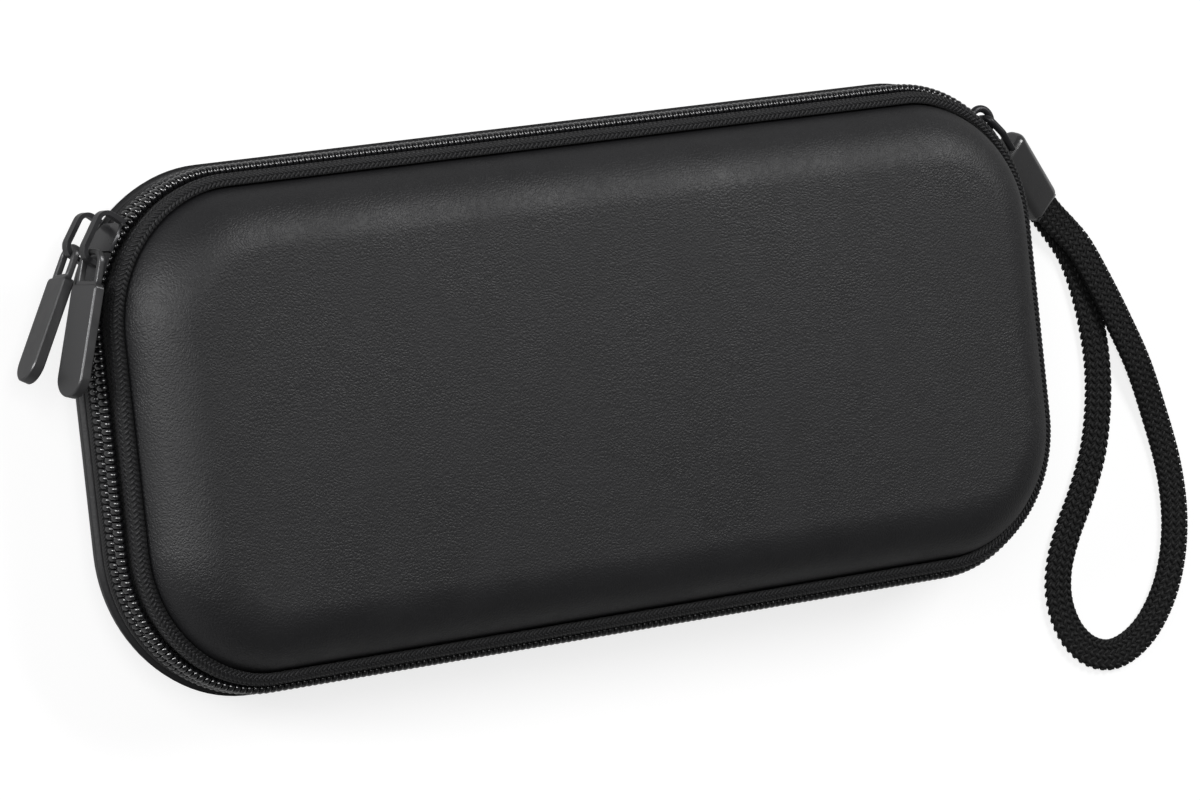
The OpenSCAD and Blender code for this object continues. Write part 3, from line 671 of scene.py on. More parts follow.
LINING_CLOTH = yarn_fabric("lining_cloth", (0.022, 0.022, 0.024), (0.04, 0.04, 0.043), 0.85, 1500.0, 0.35)
ELASTIC_CLOTH = woven_tape("elastic_rib", (0.012, 0.012, 0.013), (0.028, 0.028, 0.03), 1.0 * MM, 0.9 * MM)


# Wrist strap first, as it is the cord

STRAP_ROUTE = [
    (147.5, 27.8, 3.85), (150.1, 25.1, 2.4), (153.1, 21.9, 1.35), (156.5, 17.5, 1),
    (159.5, 12.5, 1), (162, 5, 1), (163.8, -5, 1), (164.4, -15, 1),
    (163.4, -25, 1), (160.4, -36.5, 1), (155.2, -47, 1), (149.6, -56, 1),
    (145.8, -64.5, 1), (145, -72.5, 1), (147.3, -80, 1), (152, -85.3, 1),
    (158.2, -87.6, 1), (164.5, -86.6, 1), (170.8, -83, 1), (176, -77.5, 1),
    (180, -70.8, 1), (182.8, -62.5, 1), (184, -53, 1), (183.3, -42, 1),
    (180.3, -29.5, 1.4), (175.8, -17, 2.8), (171, -6, 3.1), (166.3, 4, 3.1),
    (161.3, 13.4, 3.1), (157.2, 18.4, 3.15), (153.4, 22.1, 3.6), (150.4, 25.1, 4.45),
    (147.6, 27.8, 5.85)]


def smooth_route(points, steps):
    """Smooth curve through the listed points, as in the solid model."""
    p = [Vector(q) * MM for q in points]
    line = []
    for i in range(len(p) - 1):
        a, b, c, d = p[max(i - 1, 0)], p[i], p[i + 1], p[min(i + 2, len(p) - 1)]
        for s in range(steps):
            t = s / steps
            line.append(0.5 * (2 * b + (c - a) * t + (2 * a - 5 * b + 4 * c - d) * t * t
                               + (3 * b - a - 3 * c + d) * t ** 3))
    return line + [p[-1]]


def route_frames(line):
    """Direction, sideways and upward vectors at each point of a route that lies on the floor."""
    frames = []
    for i, point in enumerate(line):
        ahead = (line[min(i + 1, len(line) - 1)] - line[max(i - 1, 0)]).normalized()
        side = Vector((-ahead.y, ahead.x, 0)).normalized()
        frames.append((point, ahead, side, ahead.cross(side)))
    return frames


def add_wrist_strap(grain):
    """Flat core along the whole route with the braid's yarns on it; both ends are in the ferrule."""
    line = smooth_route(STRAP_ROUTE, 6)
    length = lengths_along(line)[-1]
    core = flat_tape("strap_core", line, STRAP_W / 2 * 0.88, STRAP_T / 2 * 0.66)
    braid = repeat_shape("strap_braid", grain, strap_braid(line, length), BRAID_YARN, STRAP_YARN)
    finish_piece(core, STRAP_YARN, "strap", "wrist_strap")
    finish_piece(braid, None, "strap")


def strap_braid(line, length):
    """Flat braid: rows of slanted yarns on each face, each row a mirror of the next, and an edge row."""
    frames = route_frames(line)
    run = lengths_along(line)

    def at(s):
        i, t = stretch_at(run, s)
        return [a.lerp(b, t) for a, b in zip(frames[i], frames[i + 1])]

    rows = 6
    row_w = (STRAP_W - 0.9 * MM) / rows
    tilt = math.radians(38)
    places = []
    for i in range(int(length / BRAID_PITCH)):
        for row in range(rows):
            s = (i + 0.5 + 0.25 * (row % 2)) * BRAID_PITCH
            point, ahead, side, up = at(min(s, length - 0.5 * MM))
            across = (row - (rows - 1) / 2) * row_w
            slant = tilt if row % 2 else -tilt
            for face in (1, -1):
                along = ahead * math.cos(slant) + side * math.sin(slant)
                places.append((point + side * across + up * face * (STRAP_T / 2 - 0.34 * MM),
                               frame_of(along, up * face)))
        point, ahead, side, up = at((i + 0.5) * BRAID_PITCH)
        for edge in (1, -1):
            along = ahead * 0.8 + up * 0.6 * edge
            places.append((point + side * edge * (STRAP_W / 2 - 0.46 * MM), frame_of(along, side * edge)))
    return places


# Shells

def shell_section(wall_x, edge_r, height, thick):
    """Open section of a moulded shell, its face at height 0: inner line out to the rim, outer line back."""
    cx = wall_x - edge_r

    def line(r):
        if height > edge_r:
            return arc(cx, edge_r, r, -90, 0, 18) + [(cx + r, height)]
        return arc(cx, edge_r, r, -90, -math.degrees(math.asin((edge_r - height) / r)), 18)

    flat = [cx * t for t in (0.0, 0.35, 0.7)]
    return ([(x, thick) for x in flat] + line(edge_r - thick) + list(reversed(line(edge_r)))
            + [(x, 0) for x in reversed(flat)])


def add_shell(name, node, wall_x, edge_r, height, thick, flip, crown, leather, body):
    """Moulded shell with an even wall, its face slightly crowned; flip is the height it hangs from."""
    section = shell_section(wall_x, edge_r, height, thick)
    level = lambda z: z if flip is None else flip - z
    stations = outline(steps=24, spacing=4 * MM)
    piece = sweep(name, [(u, level(z)) for u, z in section], stations, closed=False)
    xs = sorted({round(x, 7) for x, y, *_ in stations if abs(y - MID_Y) < 1e-7})
    ys = sorted({round(y, 7) for x, y, *_ in stations if abs(x - MID_X) < 1e-7})
    reach_x, reach_y = MID_X + wall_x - edge_r, MID_Y + wall_x - edge_r
    with edited(piece) as mesh:
        for z in (0, thick):
            fill_rectangle(mesh, xs, ys, level(z))
        close_up(mesh)
        for v in mesh.verts:
            rise = max(0, 1 - (v.co.x / reach_x) ** 2) * max(0, 1 - (v.co.y / reach_y) ** 2)
            v.co.z += crown * rise
    smooth_all(piece)
    finish_piece(piece, leather, body, node)
    return piece


def finish_piece(piece, material, body, node=None):
    """Material, body and the CAD node that the piece stands for."""
    if material is not None:
        piece.data.materials.clear()
        piece.data.materials.append(material)
    if node is not None:
        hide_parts(node)
    if body is not None:
        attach(piece, body)


def add_shells():
    add_shell("back_shell_skin", "back_shell", BACK_WALL_X, BACK_EDGE_R, BACK_RIM_Z, SHELL_WALL, None, 0,
              BACK_LEATHER, "base")
    add_shell("front_shell_skin", "front_shell", FRONT_WALL_X, FRONT_EDGE_R, TOP_Z - FRONT_RIM_Z, SHELL_WALL,
              TOP_Z, FACE_CROWN, FRONT_LEATHER, "lid")


# Bindings and tapes

def rounded_box(x0, z0, x1, z1, r, steps=4):
    """Section of a soft tape with its outer corners rounded."""
    return ([(x0, z0)] + arc(x1 - r, z0 + r, r, -90, 0, steps) + arc(x1 - r, z1 - r, r, 0, 90, steps)
            + [(x0, z1)])


def yarn_grain():
    """Plump slanted stitch of yarn, along +X, lying on the plane z = 0."""
    verts = []
    rings, sides = 5, 6
    for i in range(rings):
        t = i / (rings - 1) * 2 - 1
        r = math.sqrt(max(0.0, 1 - (abs(t) ** 2.6)))
        for k in range(sides):
            a = 2 * math.pi * k / sides
            verts.append((t, math.cos(a) * max(r, 0.12), math.sin(a) * max(r, 0.12)))
    grain = new_piece("yarn_grain", verts, ring_faces(rings, sides))
    face_outwards(grain)
    grain.hide_render = True
    return grain


def repeat_tree(name, material):
    """Geometry tree: the shape on every point, turned and sized by the point's attributes."""
    tree = bpy.data.node_groups.new(name, "GeometryNodeTree")
    tree.interface.new_socket("Geometry", in_out="INPUT", socket_type="NodeSocketGeometry")
    tree.interface.new_socket("Shape", in_out="INPUT", socket_type="NodeSocketObject")
    for label in ("Length", "Width", "Thickness"):
        tree.interface.new_socket(label, in_out="INPUT", socket_type="NodeSocketFloat")
    tree.interface.new_socket("Geometry", in_out="OUTPUT", socket_type="NodeSocketGeometry")
    start = tree.nodes.new("NodeGroupInput")
    end = tree.nodes.new("NodeGroupOutput")
    shape = add_node(tree, "GeometryNodeObjectInfo", [("Object", start.outputs["Shape"])])
    size = add_node(tree, "ShaderNodeCombineXYZ", [("X", start.outputs["Length"]),
                                                    ("Y", start.outputs["Width"]),
                                                    ("Z", start.outputs["Thickness"])])
    turn = add_node(tree, "GeometryNodeInputNamedAttribute", [("Name", "turn")], data_type="FLOAT_VECTOR")
    placed = add_node(tree, "GeometryNodeInstanceOnPoints",
                      [("Points", start.outputs["Geometry"]), ("Instance", shape.outputs["Geometry"]),
                       ("Rotation", turn.outputs["Attribute"]), ("Scale", size.outputs[0])])
    real = add_node(tree, "GeometryNodeRealizeInstances", [("Geometry", placed.outputs[0])])
    coloured = add_node(tree, "GeometryNodeSetMaterial", [("Geometry", real.outputs[0]),
                                                           ("Material", material)])
    tree.links.new(coloured.outputs[0], end.inputs["Geometry"])
    return tree


def repeat_shape(name, shape, places, size, material):
    """Plain mesh of the shape at all places, each (point, 3x3 turn); size is length, width, thickness."""
    host = new_piece(name, [p for p, _ in places], [])
    turn = host.data.attributes.new("turn", "FLOAT_VECTOR", "POINT")
    turn.data.foreach_set("vector", [x for _, m in places for x in m.to_euler("XYZ")])
    modifier = host.modifiers.new("repeat", "NODES")
    modifier.node_group = repeat_tree(name + "_tree", material)
    sockets = {i.name: i.identifier for i in modifier.node_group.interface.items_tree if i.in_out == "INPUT"}
    modifier[sockets["Shape"]] = shape
    for label, value in zip(("Length", "Width", "Thickness"), size):
        modifier[sockets[label]] = value
    apply_modifiers(host)
    smooth_all(host)
    return host


def frame_of(along, out):
    """Turn whose X is along, Z is out and Y completes them."""
    z = out.normalized()
    x = (along - z * along.dot(z)).normalized()
    return Matrix((x, z.cross(x), z)).transposed()


def add_front_binding(grain):
    """Herringbone tape round the front shell's rim: a soft core with rows of slanted yarns on it."""
    x0, z0 = FRONT_WALL_X + 0.05 * MM, FRONT_RIM_Z
    x1, z1 = BINDING_OUT - 0.45 * MM, FRONT_RIM_Z + BINDING_H - 0.35 * MM
    core = sweep("front_binding_core", rounded_box(x0, z0 + 0.3 * MM, x1, z1, BINDING_ROUND, 5),
                 outline(20, 4 * MM))
    count = round(OUTLINE_RUN / YARN_PITCH)
    places = []
    rows = binding_rows(x0, z0, x1, z1)
    for i in range(count):
        for u, z, nu, nz, slant, shift in rows:
            base, out, ahead = outline_vectors((i + shift) * OUTLINE_RUN / count)
            normal = (out * nu + UP * nz).normalized()
            cross = normal.cross(ahead)
            along = ahead * math.cos(slant) + cross * math.sin(slant)
            places.append((base + out * u + UP * z, frame_of(along, normal)))
    yarns = repeat_shape("front_binding_yarns", grain, places, YARN_SIZE, BINDING_YARN)
    finish_piece(core, BINDING_CORE, "lid", "front_binding")
    finish_piece(yarns, None, "lid")


def binding_rows(x0, z0, x1, z1):
    """Rows of yarn over the binding's rounded face: place, normal, slant and shift of each."""
    tilt = math.radians(48)
    return [
        (x1, z0 + BINDING_ROUND * 0.95, 1.0, -0.25, -tilt, 0.0),
        (x1 + 0.02 * MM, (z0 + z1) / 2 + 0.25 * MM, 1.0, 0.12, tilt, 0.5),
        (x1 - BINDING_ROUND * 0.42, z1 - BINDING_ROUND * 0.22, 0.6, 0.8, -tilt, 0.0),
        (x0 + 0.75 * MM, z1 + 0.02 * MM, 0.05, 1.0, tilt, 0.5)]


def turned_tape(thick, foot):
    """Section of a tape that stands from the height foot and turns in under the front shell's rim."""
    inner = TAPE_OUT - thick
    stand = [foot + (TAPE_TURN_Z - thick - foot) * i / 10 for i in range(11)]
    bend = 0.4 * MM
    return ([(TAPE_OUT, z) for z in stand] + arc(TAPE_OUT - bend, TAPE_TURN_Z - bend, bend, 0, 90, 4)
            + [(SEWN_X, TAPE_TURN_Z), (SEWN_X, SEWN_Z), (SEWN_X - thick, SEWN_Z),
               (SEWN_X - thick, TAPE_TURN_Z - thick)] + [(inner, z) for z in reversed(stand)])


def add_tapes():
    """Back binding, both zip tapes and the hinge tape."""
    back = sweep("back_binding_tape", rounded_box(TAPE_OUT + 0.05 * MM, BACK_RIM_Z + 0.05 * MM,
                                                  TAPE_OUT + 2.25 * MM, BACK_RIM_Z + 1.75 * MM, 0.6 * MM),
                 outline(20, 4 * MM))
    finish_piece(back, TAPE_WEAVE, "base", "back_binding")
    zip_run = part_outline(ZIP_START, ZIP_END)
    front = sweep("front_tape_cloth", turned_tape(TAPE_T, ZIP_Z + TAPE_EDGE), zip_run, loop=False)
    finish_piece(front, TAPE_WEAVE, "lid", "front_zip_tape")
    section = ([(TAPE_OUT, TAPE_FOOT_Z + (ZIP_Z - TAPE_EDGE - TAPE_FOOT_Z) * i / 5) for i in range(6)]
               + [(TAPE_OUT - TAPE_T, ZIP_Z - TAPE_EDGE), (TAPE_OUT - TAPE_T, TAPE_FOOT_Z)])
    rear = sweep("back_tape_cloth", section, zip_run, loop=False)
    finish_piece(rear, TAPE_WEAVE, "base", "back_zip_tape")
    end = CORNER_R * HINGE_END_A
    hinge = sweep("hinge_tape_cloth", turned_tape(HINGE_T, TAPE_FOOT_Z),
                  part_outline(OUTLINE_RUN - 2 * MID_Y - end, OUTLINE_RUN + end), loop=False)
    finish_piece(hinge, TAPE_WEAVE, None, "hinge_tape")
    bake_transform(hinge)


# Zip teeth

def coil_turn():
    """One turn of the coil: a rounded loop with a head that swells towards the other row."""
    verts = []
    path = [(-0.95, -0.15), (-0.55, -0.6), (0.05, -0.72), (0.62, -0.6), (1.0, -0.12), (0.98, 0.25),
            (0.6, 0.62), (0.0, 0.72), (-0.55, 0.62), (-0.95, 0.3)]
    n, sides = len(path), 6
    for i, (y, z) in enumerate(path):
        before, after = Vector(path[i - 1]), Vector(path[(i + 1) % n])
        t = (after - before).normalized()
        normal = Vector((t.y, -t.x))
        thick = 0.36 if y > 0.5 else 0.27
        for k in range(sides):
            a = 2 * math.pi * k / sides
            verts.append((math.sin(a) * 0.58, y + normal.x * math.cos(a) * thick,
                          z + normal.y * math.cos(a) * thick))
    turn = new_piece("coil_turn", verts, ring_faces(n, sides, capped=False, looped=True))
    face_outwards(turn)
    turn.hide_render = True
    return turn


def add_coils(turn):
    """Both rows of teeth, half a pitch apart."""
    count = int((ZIP_END - ZIP_START) / COIL_PITCH)
    for node, name, side, phase, body in (("front_coil", "front_teeth", 1, 0.1, "lid"),
                                          ("back_coil", "back_teeth", -1, 0.6, "base")):
        places = []
        for i in range(count):
            base, out, ahead = outline_vectors(ZIP_END - (i + phase + 0.5) * COIL_PITCH)
            centre = base + out * CORNER_R + UP * (ZIP_Z + side * ROW_OFF)
            towards = Vector((0, 0, -side))
            places.append((centre, Matrix((ahead, towards, ahead.cross(towards))).transposed()))
        teeth = repeat_shape(name, turn, places, (COIL_PITCH * 0.8, COIL_D / 2, COIL_D / 2), COIL_PLASTIC)
        finish_piece(teeth, None, body, node)


# Hardware

def loft(name, loops):
    """Closed solid through loops of as many points each."""
    piece = new_piece(name, [v for loop in loops for v in loop], ring_faces(len(loops), len(loops[0])))
    face_outwards(piece)
    return piece


def shade_flats(piece):
    """Smooth shading that keeps the large flats flat."""
    smooth_all(piece)
    piece.modifiers.new("even_shading", "WEIGHTED_NORMAL").weight = 80
    apply_modifiers(piece)


def tab_outline(length, inset, z):
    """Outline of a pull's tab: soft corners by the eye and a half-round end."""
    half = PULL_W / 2 - inset
    corner = 0.8 * MM
    points = arc(length - PULL_W / 2, 0, half, -90, 90, 24)
    points += arc(TAB_X + inset + corner, half - corner, corner, 90, 180, 4)
    points += arc(TAB_X + inset + corner, -half + corner, corner, 180, 270, 4)
    return [(x, y, z) for x, y in points]


def add_pull(node, body, bar, swing, turn, length):
    """Pull in one casting: half-round tab with a fine chamfer, sloped shoulder and rounded eye."""
    half = PULL_T / 2
    edge = [(0.42, 0.0), (0.3, 0.06), (0.06, 0.3), (0.0, 0.42)]
    levels = ([(i * MM, -half + z * MM) for i, z in edge]
              + [(i * MM, half - z * MM) for i, z in reversed(edge)])
    tab = loft("tab", [tab_outline(length, inset, z) for inset, z in levels])
    line = ([Vector((x * MM, EYE_Y, 0)) for x in (8.4, 6.5, 4.5)]
            + [Vector((x, y, 0)) for x, y in arc(EYE_R, EYE_Y - EYE_R, EYE_R, 90, 180, 8)]
            + [Vector((x, y, 0)) for x, y in arc(EYE_R, -EYE_Y + EYE_R, EYE_R, 180, 270, 8)]
            + [Vector((x * MM, -EYE_Y, 0)) for x in (4.5, 6.5, 8.4)])
    eye = flat_tape("eye", line, EYE_WIRE / 2, EYE_T / 2, 16)
    wide = EYE_Y + 0.55 * MM
    slope = []
    for x, tall in ((6.7, 0.55), (6.9, 0.78), (7.5, 0.82), (8.3, PULL_T / 2 / MM - 0.12)):
        y0 = wide if x > 6.8 else wide - 0.3 * MM
        slope.append([(x * MM, y, z) for y, z in rounded_ring(y0, tall * MM, 0.35 * MM)])
    root = loft("root", slope)
    for part in (tab, eye, root):
        shade_flats(part)
    pull = joined(node + "_casting", [tab, eye, root])
    place = (Matrix.Translation(bar) @ Matrix.Rotation(math.radians(-90 - swing), 4, "Z")
             @ Matrix.Rotation(math.radians(90 + turn), 4, "X"))
    pull.data.transform(place)
    finish_piece(pull, PULL_METAL, body, node)


def rounded_ring(half_w, half_t, radius, steps=4):
    """Points round a rectangle with rounded corners, centred on the origin."""
    radius = min(radius, half_w * 0.98, half_t * 0.98)
    w, t = half_w - radius, half_t - radius
    return (arc(w, t, radius, 0, 90, steps) + arc(-w, t, radius, 90, 180, steps)
            + arc(-w, -t, radius, 180, 270, steps) + arc(w, -t, radius, 270, 360, steps))


def add_ferrule():
    """Moulded ferrule with full rounded shoulders and the slot that takes both ends of the strap."""
    soft = 2.0 * MM
    loops = []
    ends = [soft * (1 - math.cos(math.radians(a))) for a in (0, 15, 30, 45, 60, 75, 90)]
    spots = ends + [FERRULE_L * f for f in (0.25, 0.5, 0.75)] + [FERRULE_L - e for e in reversed(ends)]
    for x in spots:
        near = min(x, FERRULE_L - x)
        inset = soft * 0.75 * (1 - math.sqrt(max(0.0, 1 - (1 - min(near, soft) / soft) ** 2)))
        loops.append([(x, y, z) for y, z in
                      rounded_ring(FERRULE_W / 2 - inset, FERRULE_T / 2 - inset, 2.6 * MM - inset * 0.5, 8)])
    for deep, flare_w, flare_t in ((0, 0.25 * MM, 0.2 * MM), (0.3 * MM, 0.05 * MM, 0.05 * MM),
                                   (SLOT_DEEP, 0, 0)):
        ring = rounded_ring(SLOT_W / 2 + flare_w, SLOT_T / 2 + flare_t, 0.5 * MM, 8)
        loops.append([(FERRULE_L - deep, y, z) for y, z in ring])
    ferrule = loft("strap_ferrule_moulding", loops)
    place = (Matrix.Translation((*PIN_AT, 0)) @ Matrix.Rotation(FERRULE_A, 4, "Z")
             @ Matrix.Translation((FERRULE_RUN, 0, FERRULE_Z)) @ Matrix.Rotation(FERRULE_TILT, 4, "Y"))
    ferrule.data.transform(place)
    ferrule.data.set_sharp_from_angle(angle=math.radians(50))
    finish_piece(ferrule, FERRULE_PLASTIC, "strap", "strap_ferrule")


def add_hardware():
    """Sliders, pulls, loop, bail, ferrule and end stops."""
    for node, width, material, slot, body in (
            ("slider_upper", 0.3, SLIDER_METAL, "slider_metal", "upper_slider"),
            ("slider_lower", 0.3, SLIDER_METAL, "slider_metal", "lower_slider"),
            ("anchor_loop", 0.2, WIRE_COATING, "coated_wire", "base"),
            ("strap_bail", 0.2, WIRE_COATING, "coated_wire", "strap"),
            ("zip_end_stops", 0.4, COIL_PLASTIC, "coil_plastic", "base")):
        finish_piece(softened(node, node + "_finished", width * MM), material, body)
    for values in PULLS:
        add_pull(*values)
    add_ferrule()


# Inside of the case

def ease(value, low, high):
    """Smooth step from 0 at low to 1 at high."""
    t = min(1.0, max(0.0, (value - low) / (high - low)))
    return t * t * (3 - 2 * t)


def add_cradle():
    """Foam tray in brushed cloth, its edges soft, with two shallow thumb reliefs in the recess floor."""
    edge, bend = 1.1 * MM, 1.6 * MM
    low = SHELL_WALL + 0.05 * MM
    outer_r, mid = 13.1 * MM, 20.6 * MM
    pillow, relief, thumb_r = 0.12 * MM, 1.6 * MM, 10 * MM
    rings = [(MID_X, MID_Y, u * mid, low) for u in (0, 0.5, 1)]
    rings += [(MID_X, MID_Y, mid + outer_r * math.sin(math.radians(a)),
               low + outer_r * (1 - math.cos(math.radians(a)))) for a in (12, 24, 36, 47.8)]
    rings += [(MID_X, MID_Y, CRADLE_SIDE_X, z * MM) for z in (9, 12, 15)]
    rings += [(MID_X, MID_Y, x, z) for x, z in
              arc(CRADLE_SIDE_X - edge, CRADLE_TOP - edge, edge, 0, 90, 5)]
    rings += [(BAY_X, BAY_Y, BAY_R + edge - x, z) for x, z in
              arc(0, CRADLE_TOP - edge, edge, 90, 0, 5)]
    rings += [(BAY_X, BAY_Y, BAY_R, z * MM) for z in (14, 11.5, 9)]
    rings += [(BAY_X, BAY_Y, BAY_R - bend + x, z) for x, z in
              arc(0, BAY_FLOOR + bend, bend, 0, -90, 5)]
    rings += [(BAY_X, BAY_Y, (BAY_R - bend) * (1 - i / 16), BAY_FLOOR) for i in range(1, 17)]
    tray = ring_loft("console_tray", rings, 120, 34, steps=14)

    def press(x, y, z):
        if abs(z - BAY_FLOOR) > 0.3 * MM:
            return 0, 0, pillow * math.sin(x * 310) * math.sin(y * 270) if z > CRADLE_TOP - edge else 0
        near = min(math.hypot(x - a, y - b) for a, b in THUMB_SPOTS)
        return 0, 0, -relief * (1 - ease(near, thumb_r, thumb_r + relief))

    move_verts(tray, press)
    finish_piece(tray, LINING_CLOTH, "base", "console_cradle")


def stitch_places(points, pitch):
    """Places of lock stitches along a line of points, each lying along it."""
    places = []
    carry = 0.0
    for a, b in zip(points, points[1:]):
        length = (b - a).length
        while carry < length:
            places.append((a.lerp(b, carry / length), frame_of(b - a, UP)))
            carry += pitch
        carry -= length
    return places


def rounded_path(cx, cy, radius, z, first=0, last=4):
    """Line round a rounded rectangle, from corner first to corner last."""
    corners = [(cx, cy), (-cx, cy), (-cx, -cy), (cx, -cy), (cx, cy)]
    line = []
    for k in range(first, last + 1):
        x, y = corners[k % 4]
        turns = [QUARTER * (k + i / 8) for i in range(9)]
        line += [Vector((x + radius * math.cos(a), y + radius * math.sin(a), z)) for a in turns]
    return line


def add_flap(grain):
    """Padded card flap: puffed cloth over foam, pressed in along its stitched border, with its sewn hem."""
    half = FLAP_T / 2
    z0 = FLAP_Z + half
    seam = FLAP_R - 4.2 * MM
    dent, dent_w, swell = 0.75 * MM, 0.8 * MM, 0.25 * MM
    rings = [(FLAP_X, FLAP_Y, (FLAP_R - half) * i / 6, FLAP_Z) for i in range(7)]
    rings += [(FLAP_X, FLAP_Y, x, z) for x, z in arc(FLAP_R - half, z0, half, -75, 90, 9)]
    rings += [(FLAP_X, FLAP_Y, r, FLAP_Z + FLAP_T) for r in
              [FLAP_R - half - (FLAP_R - half) * i / 14 for i in range(1, 15)]]
    pad = ring_loft("card_flap_pad", rings, 110, 42, steps=12)

    def quilt(x, y, z):
        if z < z0 + 0.3 * MM:
            return 0, 0, 0
        u = math.hypot(max(0, abs(x) - FLAP_X), max(0, abs(y) - FLAP_Y))
        dip = math.exp(-((u - seam) / dent_w) ** 2)
        if u == 0:
            inside = min(FLAP_X - abs(x), FLAP_Y - abs(y))
            dip = math.exp(-((inside + seam) / dent_w) ** 2)
        slow = 0.5 + 0.5 * math.sin(x * 95 + 1) * math.sin(y * 120)
        return 0, 0, -dent * dip - swell * slow

    move_verts(pad, quilt)
    line = rounded_path(FLAP_X, FLAP_Y, seam, FLAP_Z + FLAP_T - dent + 0.03 * MM)
    thread = repeat_shape("card_flap_stitches", grain, stitch_places(line, 3.0 * MM),
                          (1.15 * MM, 0.22 * MM, 0.2 * MM), THREAD)
    hem_y = -(BAY_Y + BAY_R + 2 * MM)
    length = BAND_X - BAND_W / 2 - 3 * MM
    hem = ring_loft("card_flap_hem", [(length - 0.4 * MM, 2.9 * MM, r, z) for r, z in
                                      ((0, FLAP_Z), (0.3 * MM, FLAP_Z), (0.5 * MM, FLAP_Z + 0.4 * MM),
                                       (0.3 * MM, FLAP_Z + 0.8 * MM), (0, FLAP_Z + 0.8 * MM))], 40, 3, 3)
    move_verts(hem, lambda x, y, z: (0, hem_y + 3.9 * MM, 0))
    foot = ring_loft("card_flap_foot", [(length - 0.4 * MM, 0.5 * MM, r, z) for r, z in
                                        ((0, CRADLE_TOP + 0.05 * MM), (0.3 * MM, CRADLE_TOP + 0.05 * MM),
                                         (0.3 * MM, FLAP_Z + 0.7 * MM), (0, FLAP_Z + 0.7 * MM))], 40, 2, 3)
    move_verts(foot, lambda x, y, z: (0, hem_y + 0.85 * MM, 0))
    for part, finish in ((pad, LINING_CLOTH), (hem, FLAP_TAPE), (foot, FLAP_TAPE)):
        part.data.materials.append(finish)
    edge = joined("card_flap_edge", [hem, foot])
    for part in (pad, thread, edge):
        finish_piece(part, None, "base")
    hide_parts("card_flap")


def add_sleeves(grain):
    """Five sewn card sleeves, each with a folded mouth and stitches on three sides."""
    z = FLAP_Z + FLAP_T - 0.1 * MM
    pitch, half_x, half_y = 36 * MM, 12 * MM, 16 * MM
    cloths, threads = [], []
    for i in range(5):
        x = (i - 2) * pitch
        cloth = ring_loft("sleeve", [(half_x, half_y, r * MM, z + h * MM) for r, h in
                                     ((0, 0), (1.8, 0), (2, 0.25), (1.7, 0.5), (1, 0.55), (0, 0.55))],
                          14, 18, 5)
        move_verts(cloth, lambda a, b, c: (x, 0, 0.4 * MM * max(0, 1 - (a / half_x) ** 2)
                                           * ease(b, -half_y, 14 * MM) if c > z + 0.3 * MM else 0))
        lip = [Vector((x + u * 13.6 * MM, 17.0 * MM, z + (0.78 + 0.4 * (1 - u * u)) * MM))
               for u in [k / 8 - 1 for k in range(17)]]
        mouth = flat_tape("mouth", lip, 1.1 * MM, 0.3 * MM, 10)
        cloths += [cloth, mouth]
        line = [Vector((x + a * MM, b * MM, z + 0.62 * MM)) for a, b in
                ((-12.6, 15), (-12.6, -15), (-11, -16.6), (11, -16.6), (12.6, -15), (12.6, 15))]
        threads += stitch_places(line, 2.4 * MM)
    for part in cloths:
        part.data.materials.append(FLAP_TAPE)
    sleeves = joined("card_sleeves_cloth", cloths)
    thread = repeat_shape("card_sleeves_stitches", grain, threads, (0.9 * MM, 0.2 * MM, 0.16 * MM), THREAD)
    finish_piece(sleeves, None, "base", "card_sleeves")
    finish_piece(thread, None, "base")


def add_net():
    """Net pocket of the lid with its bound edge, and the gathered elastic along its mouth."""
    rows, cols = 44, 90
    low = -(MID_Y + POCKET_R)
    level = POCKET_Z + 0.4 * MM
    top_verts, faces = [], []
    for j in range(rows + 1):
        y = low + (POCKET_OPEN_Y - low) * (1 - math.cos(QUARTER * (j + 0.02) / (rows + 0.02)))
        beyond = max(0.0, abs(y) - MID_Y)
        half = MID_X + math.sqrt(max(0.0, POCKET_R ** 2 - beyond ** 2))
        for i in range(cols + 1):
            x = half * (2 * i / cols - 1)
            slack = (1 - (2 * i / cols - 1) ** 2) * min(1, (y - low) / (12 * MM))
            wave = 0.35 * MM * math.sin(x * 160 + y * 60) * slack
            top_verts.append(Vector((x, y, level + wave)))
    count = len(top_verts)
    width = cols + 1
    under = [v - Vector((0, 0, 0.25 * MM)) for v in top_verts]
    for j in range(rows):
        for i in range(cols):
            a, b, c, d = j * width + i, j * width + i + 1, (j + 1) * width + i + 1, (j + 1) * width + i
            faces += [(a, b, c, d), (a + count, d + count, c + count, b + count)]
    rim = ([i for i in range(width)] + [j * width + cols for j in range(1, rows + 1)]
           + [rows * width + i for i in range(cols - 1, -1, -1)]
           + [j * width for j in range(rows - 1, 0, -1)])
    for a, b in zip(rim, rim[1:] + rim[:1]):
        faces.append((a, a + count, b + count, b))
    net = new_piece("mesh_pocket_net", top_verts + under, faces)
    face_outwards(net)
    finish_piece(net, NET, "lid", "mesh_pocket")
    edge_line = rounded_path(MID_X, MID_Y, POCKET_R - 0.9 * MM, level, 1, 3)[8:-8]
    mouth_y = POCKET_OPEN_Y - 3 * MM
    bound = ([Vector((edge_line[0].x, mouth_y, level))] + edge_line
             + [Vector((edge_line[-1].x, mouth_y, level))])
    tape = flat_tape("mesh_pocket_edge", evenly(bound, 3 * MM), 1.2 * MM, 0.4 * MM)
    finish_piece(tape, ELASTIC_CLOTH, "lid")
    line = [Vector((ELASTIC_X * (i / 480 - 1), POCKET_OPEN_Y - ELASTIC_W / 2, POCKET_Z + 1.65 * MM))
            for i in range(961)]
    elastic = flat_tape("pocket_elastic_band", line, ELASTIC_W / 2, 0.8 * MM, 12, 0.22 * MM, 2.0 * MM)
    finish_piece(elastic, ELASTIC_CLOTH, "lid", "pocket_elastic")


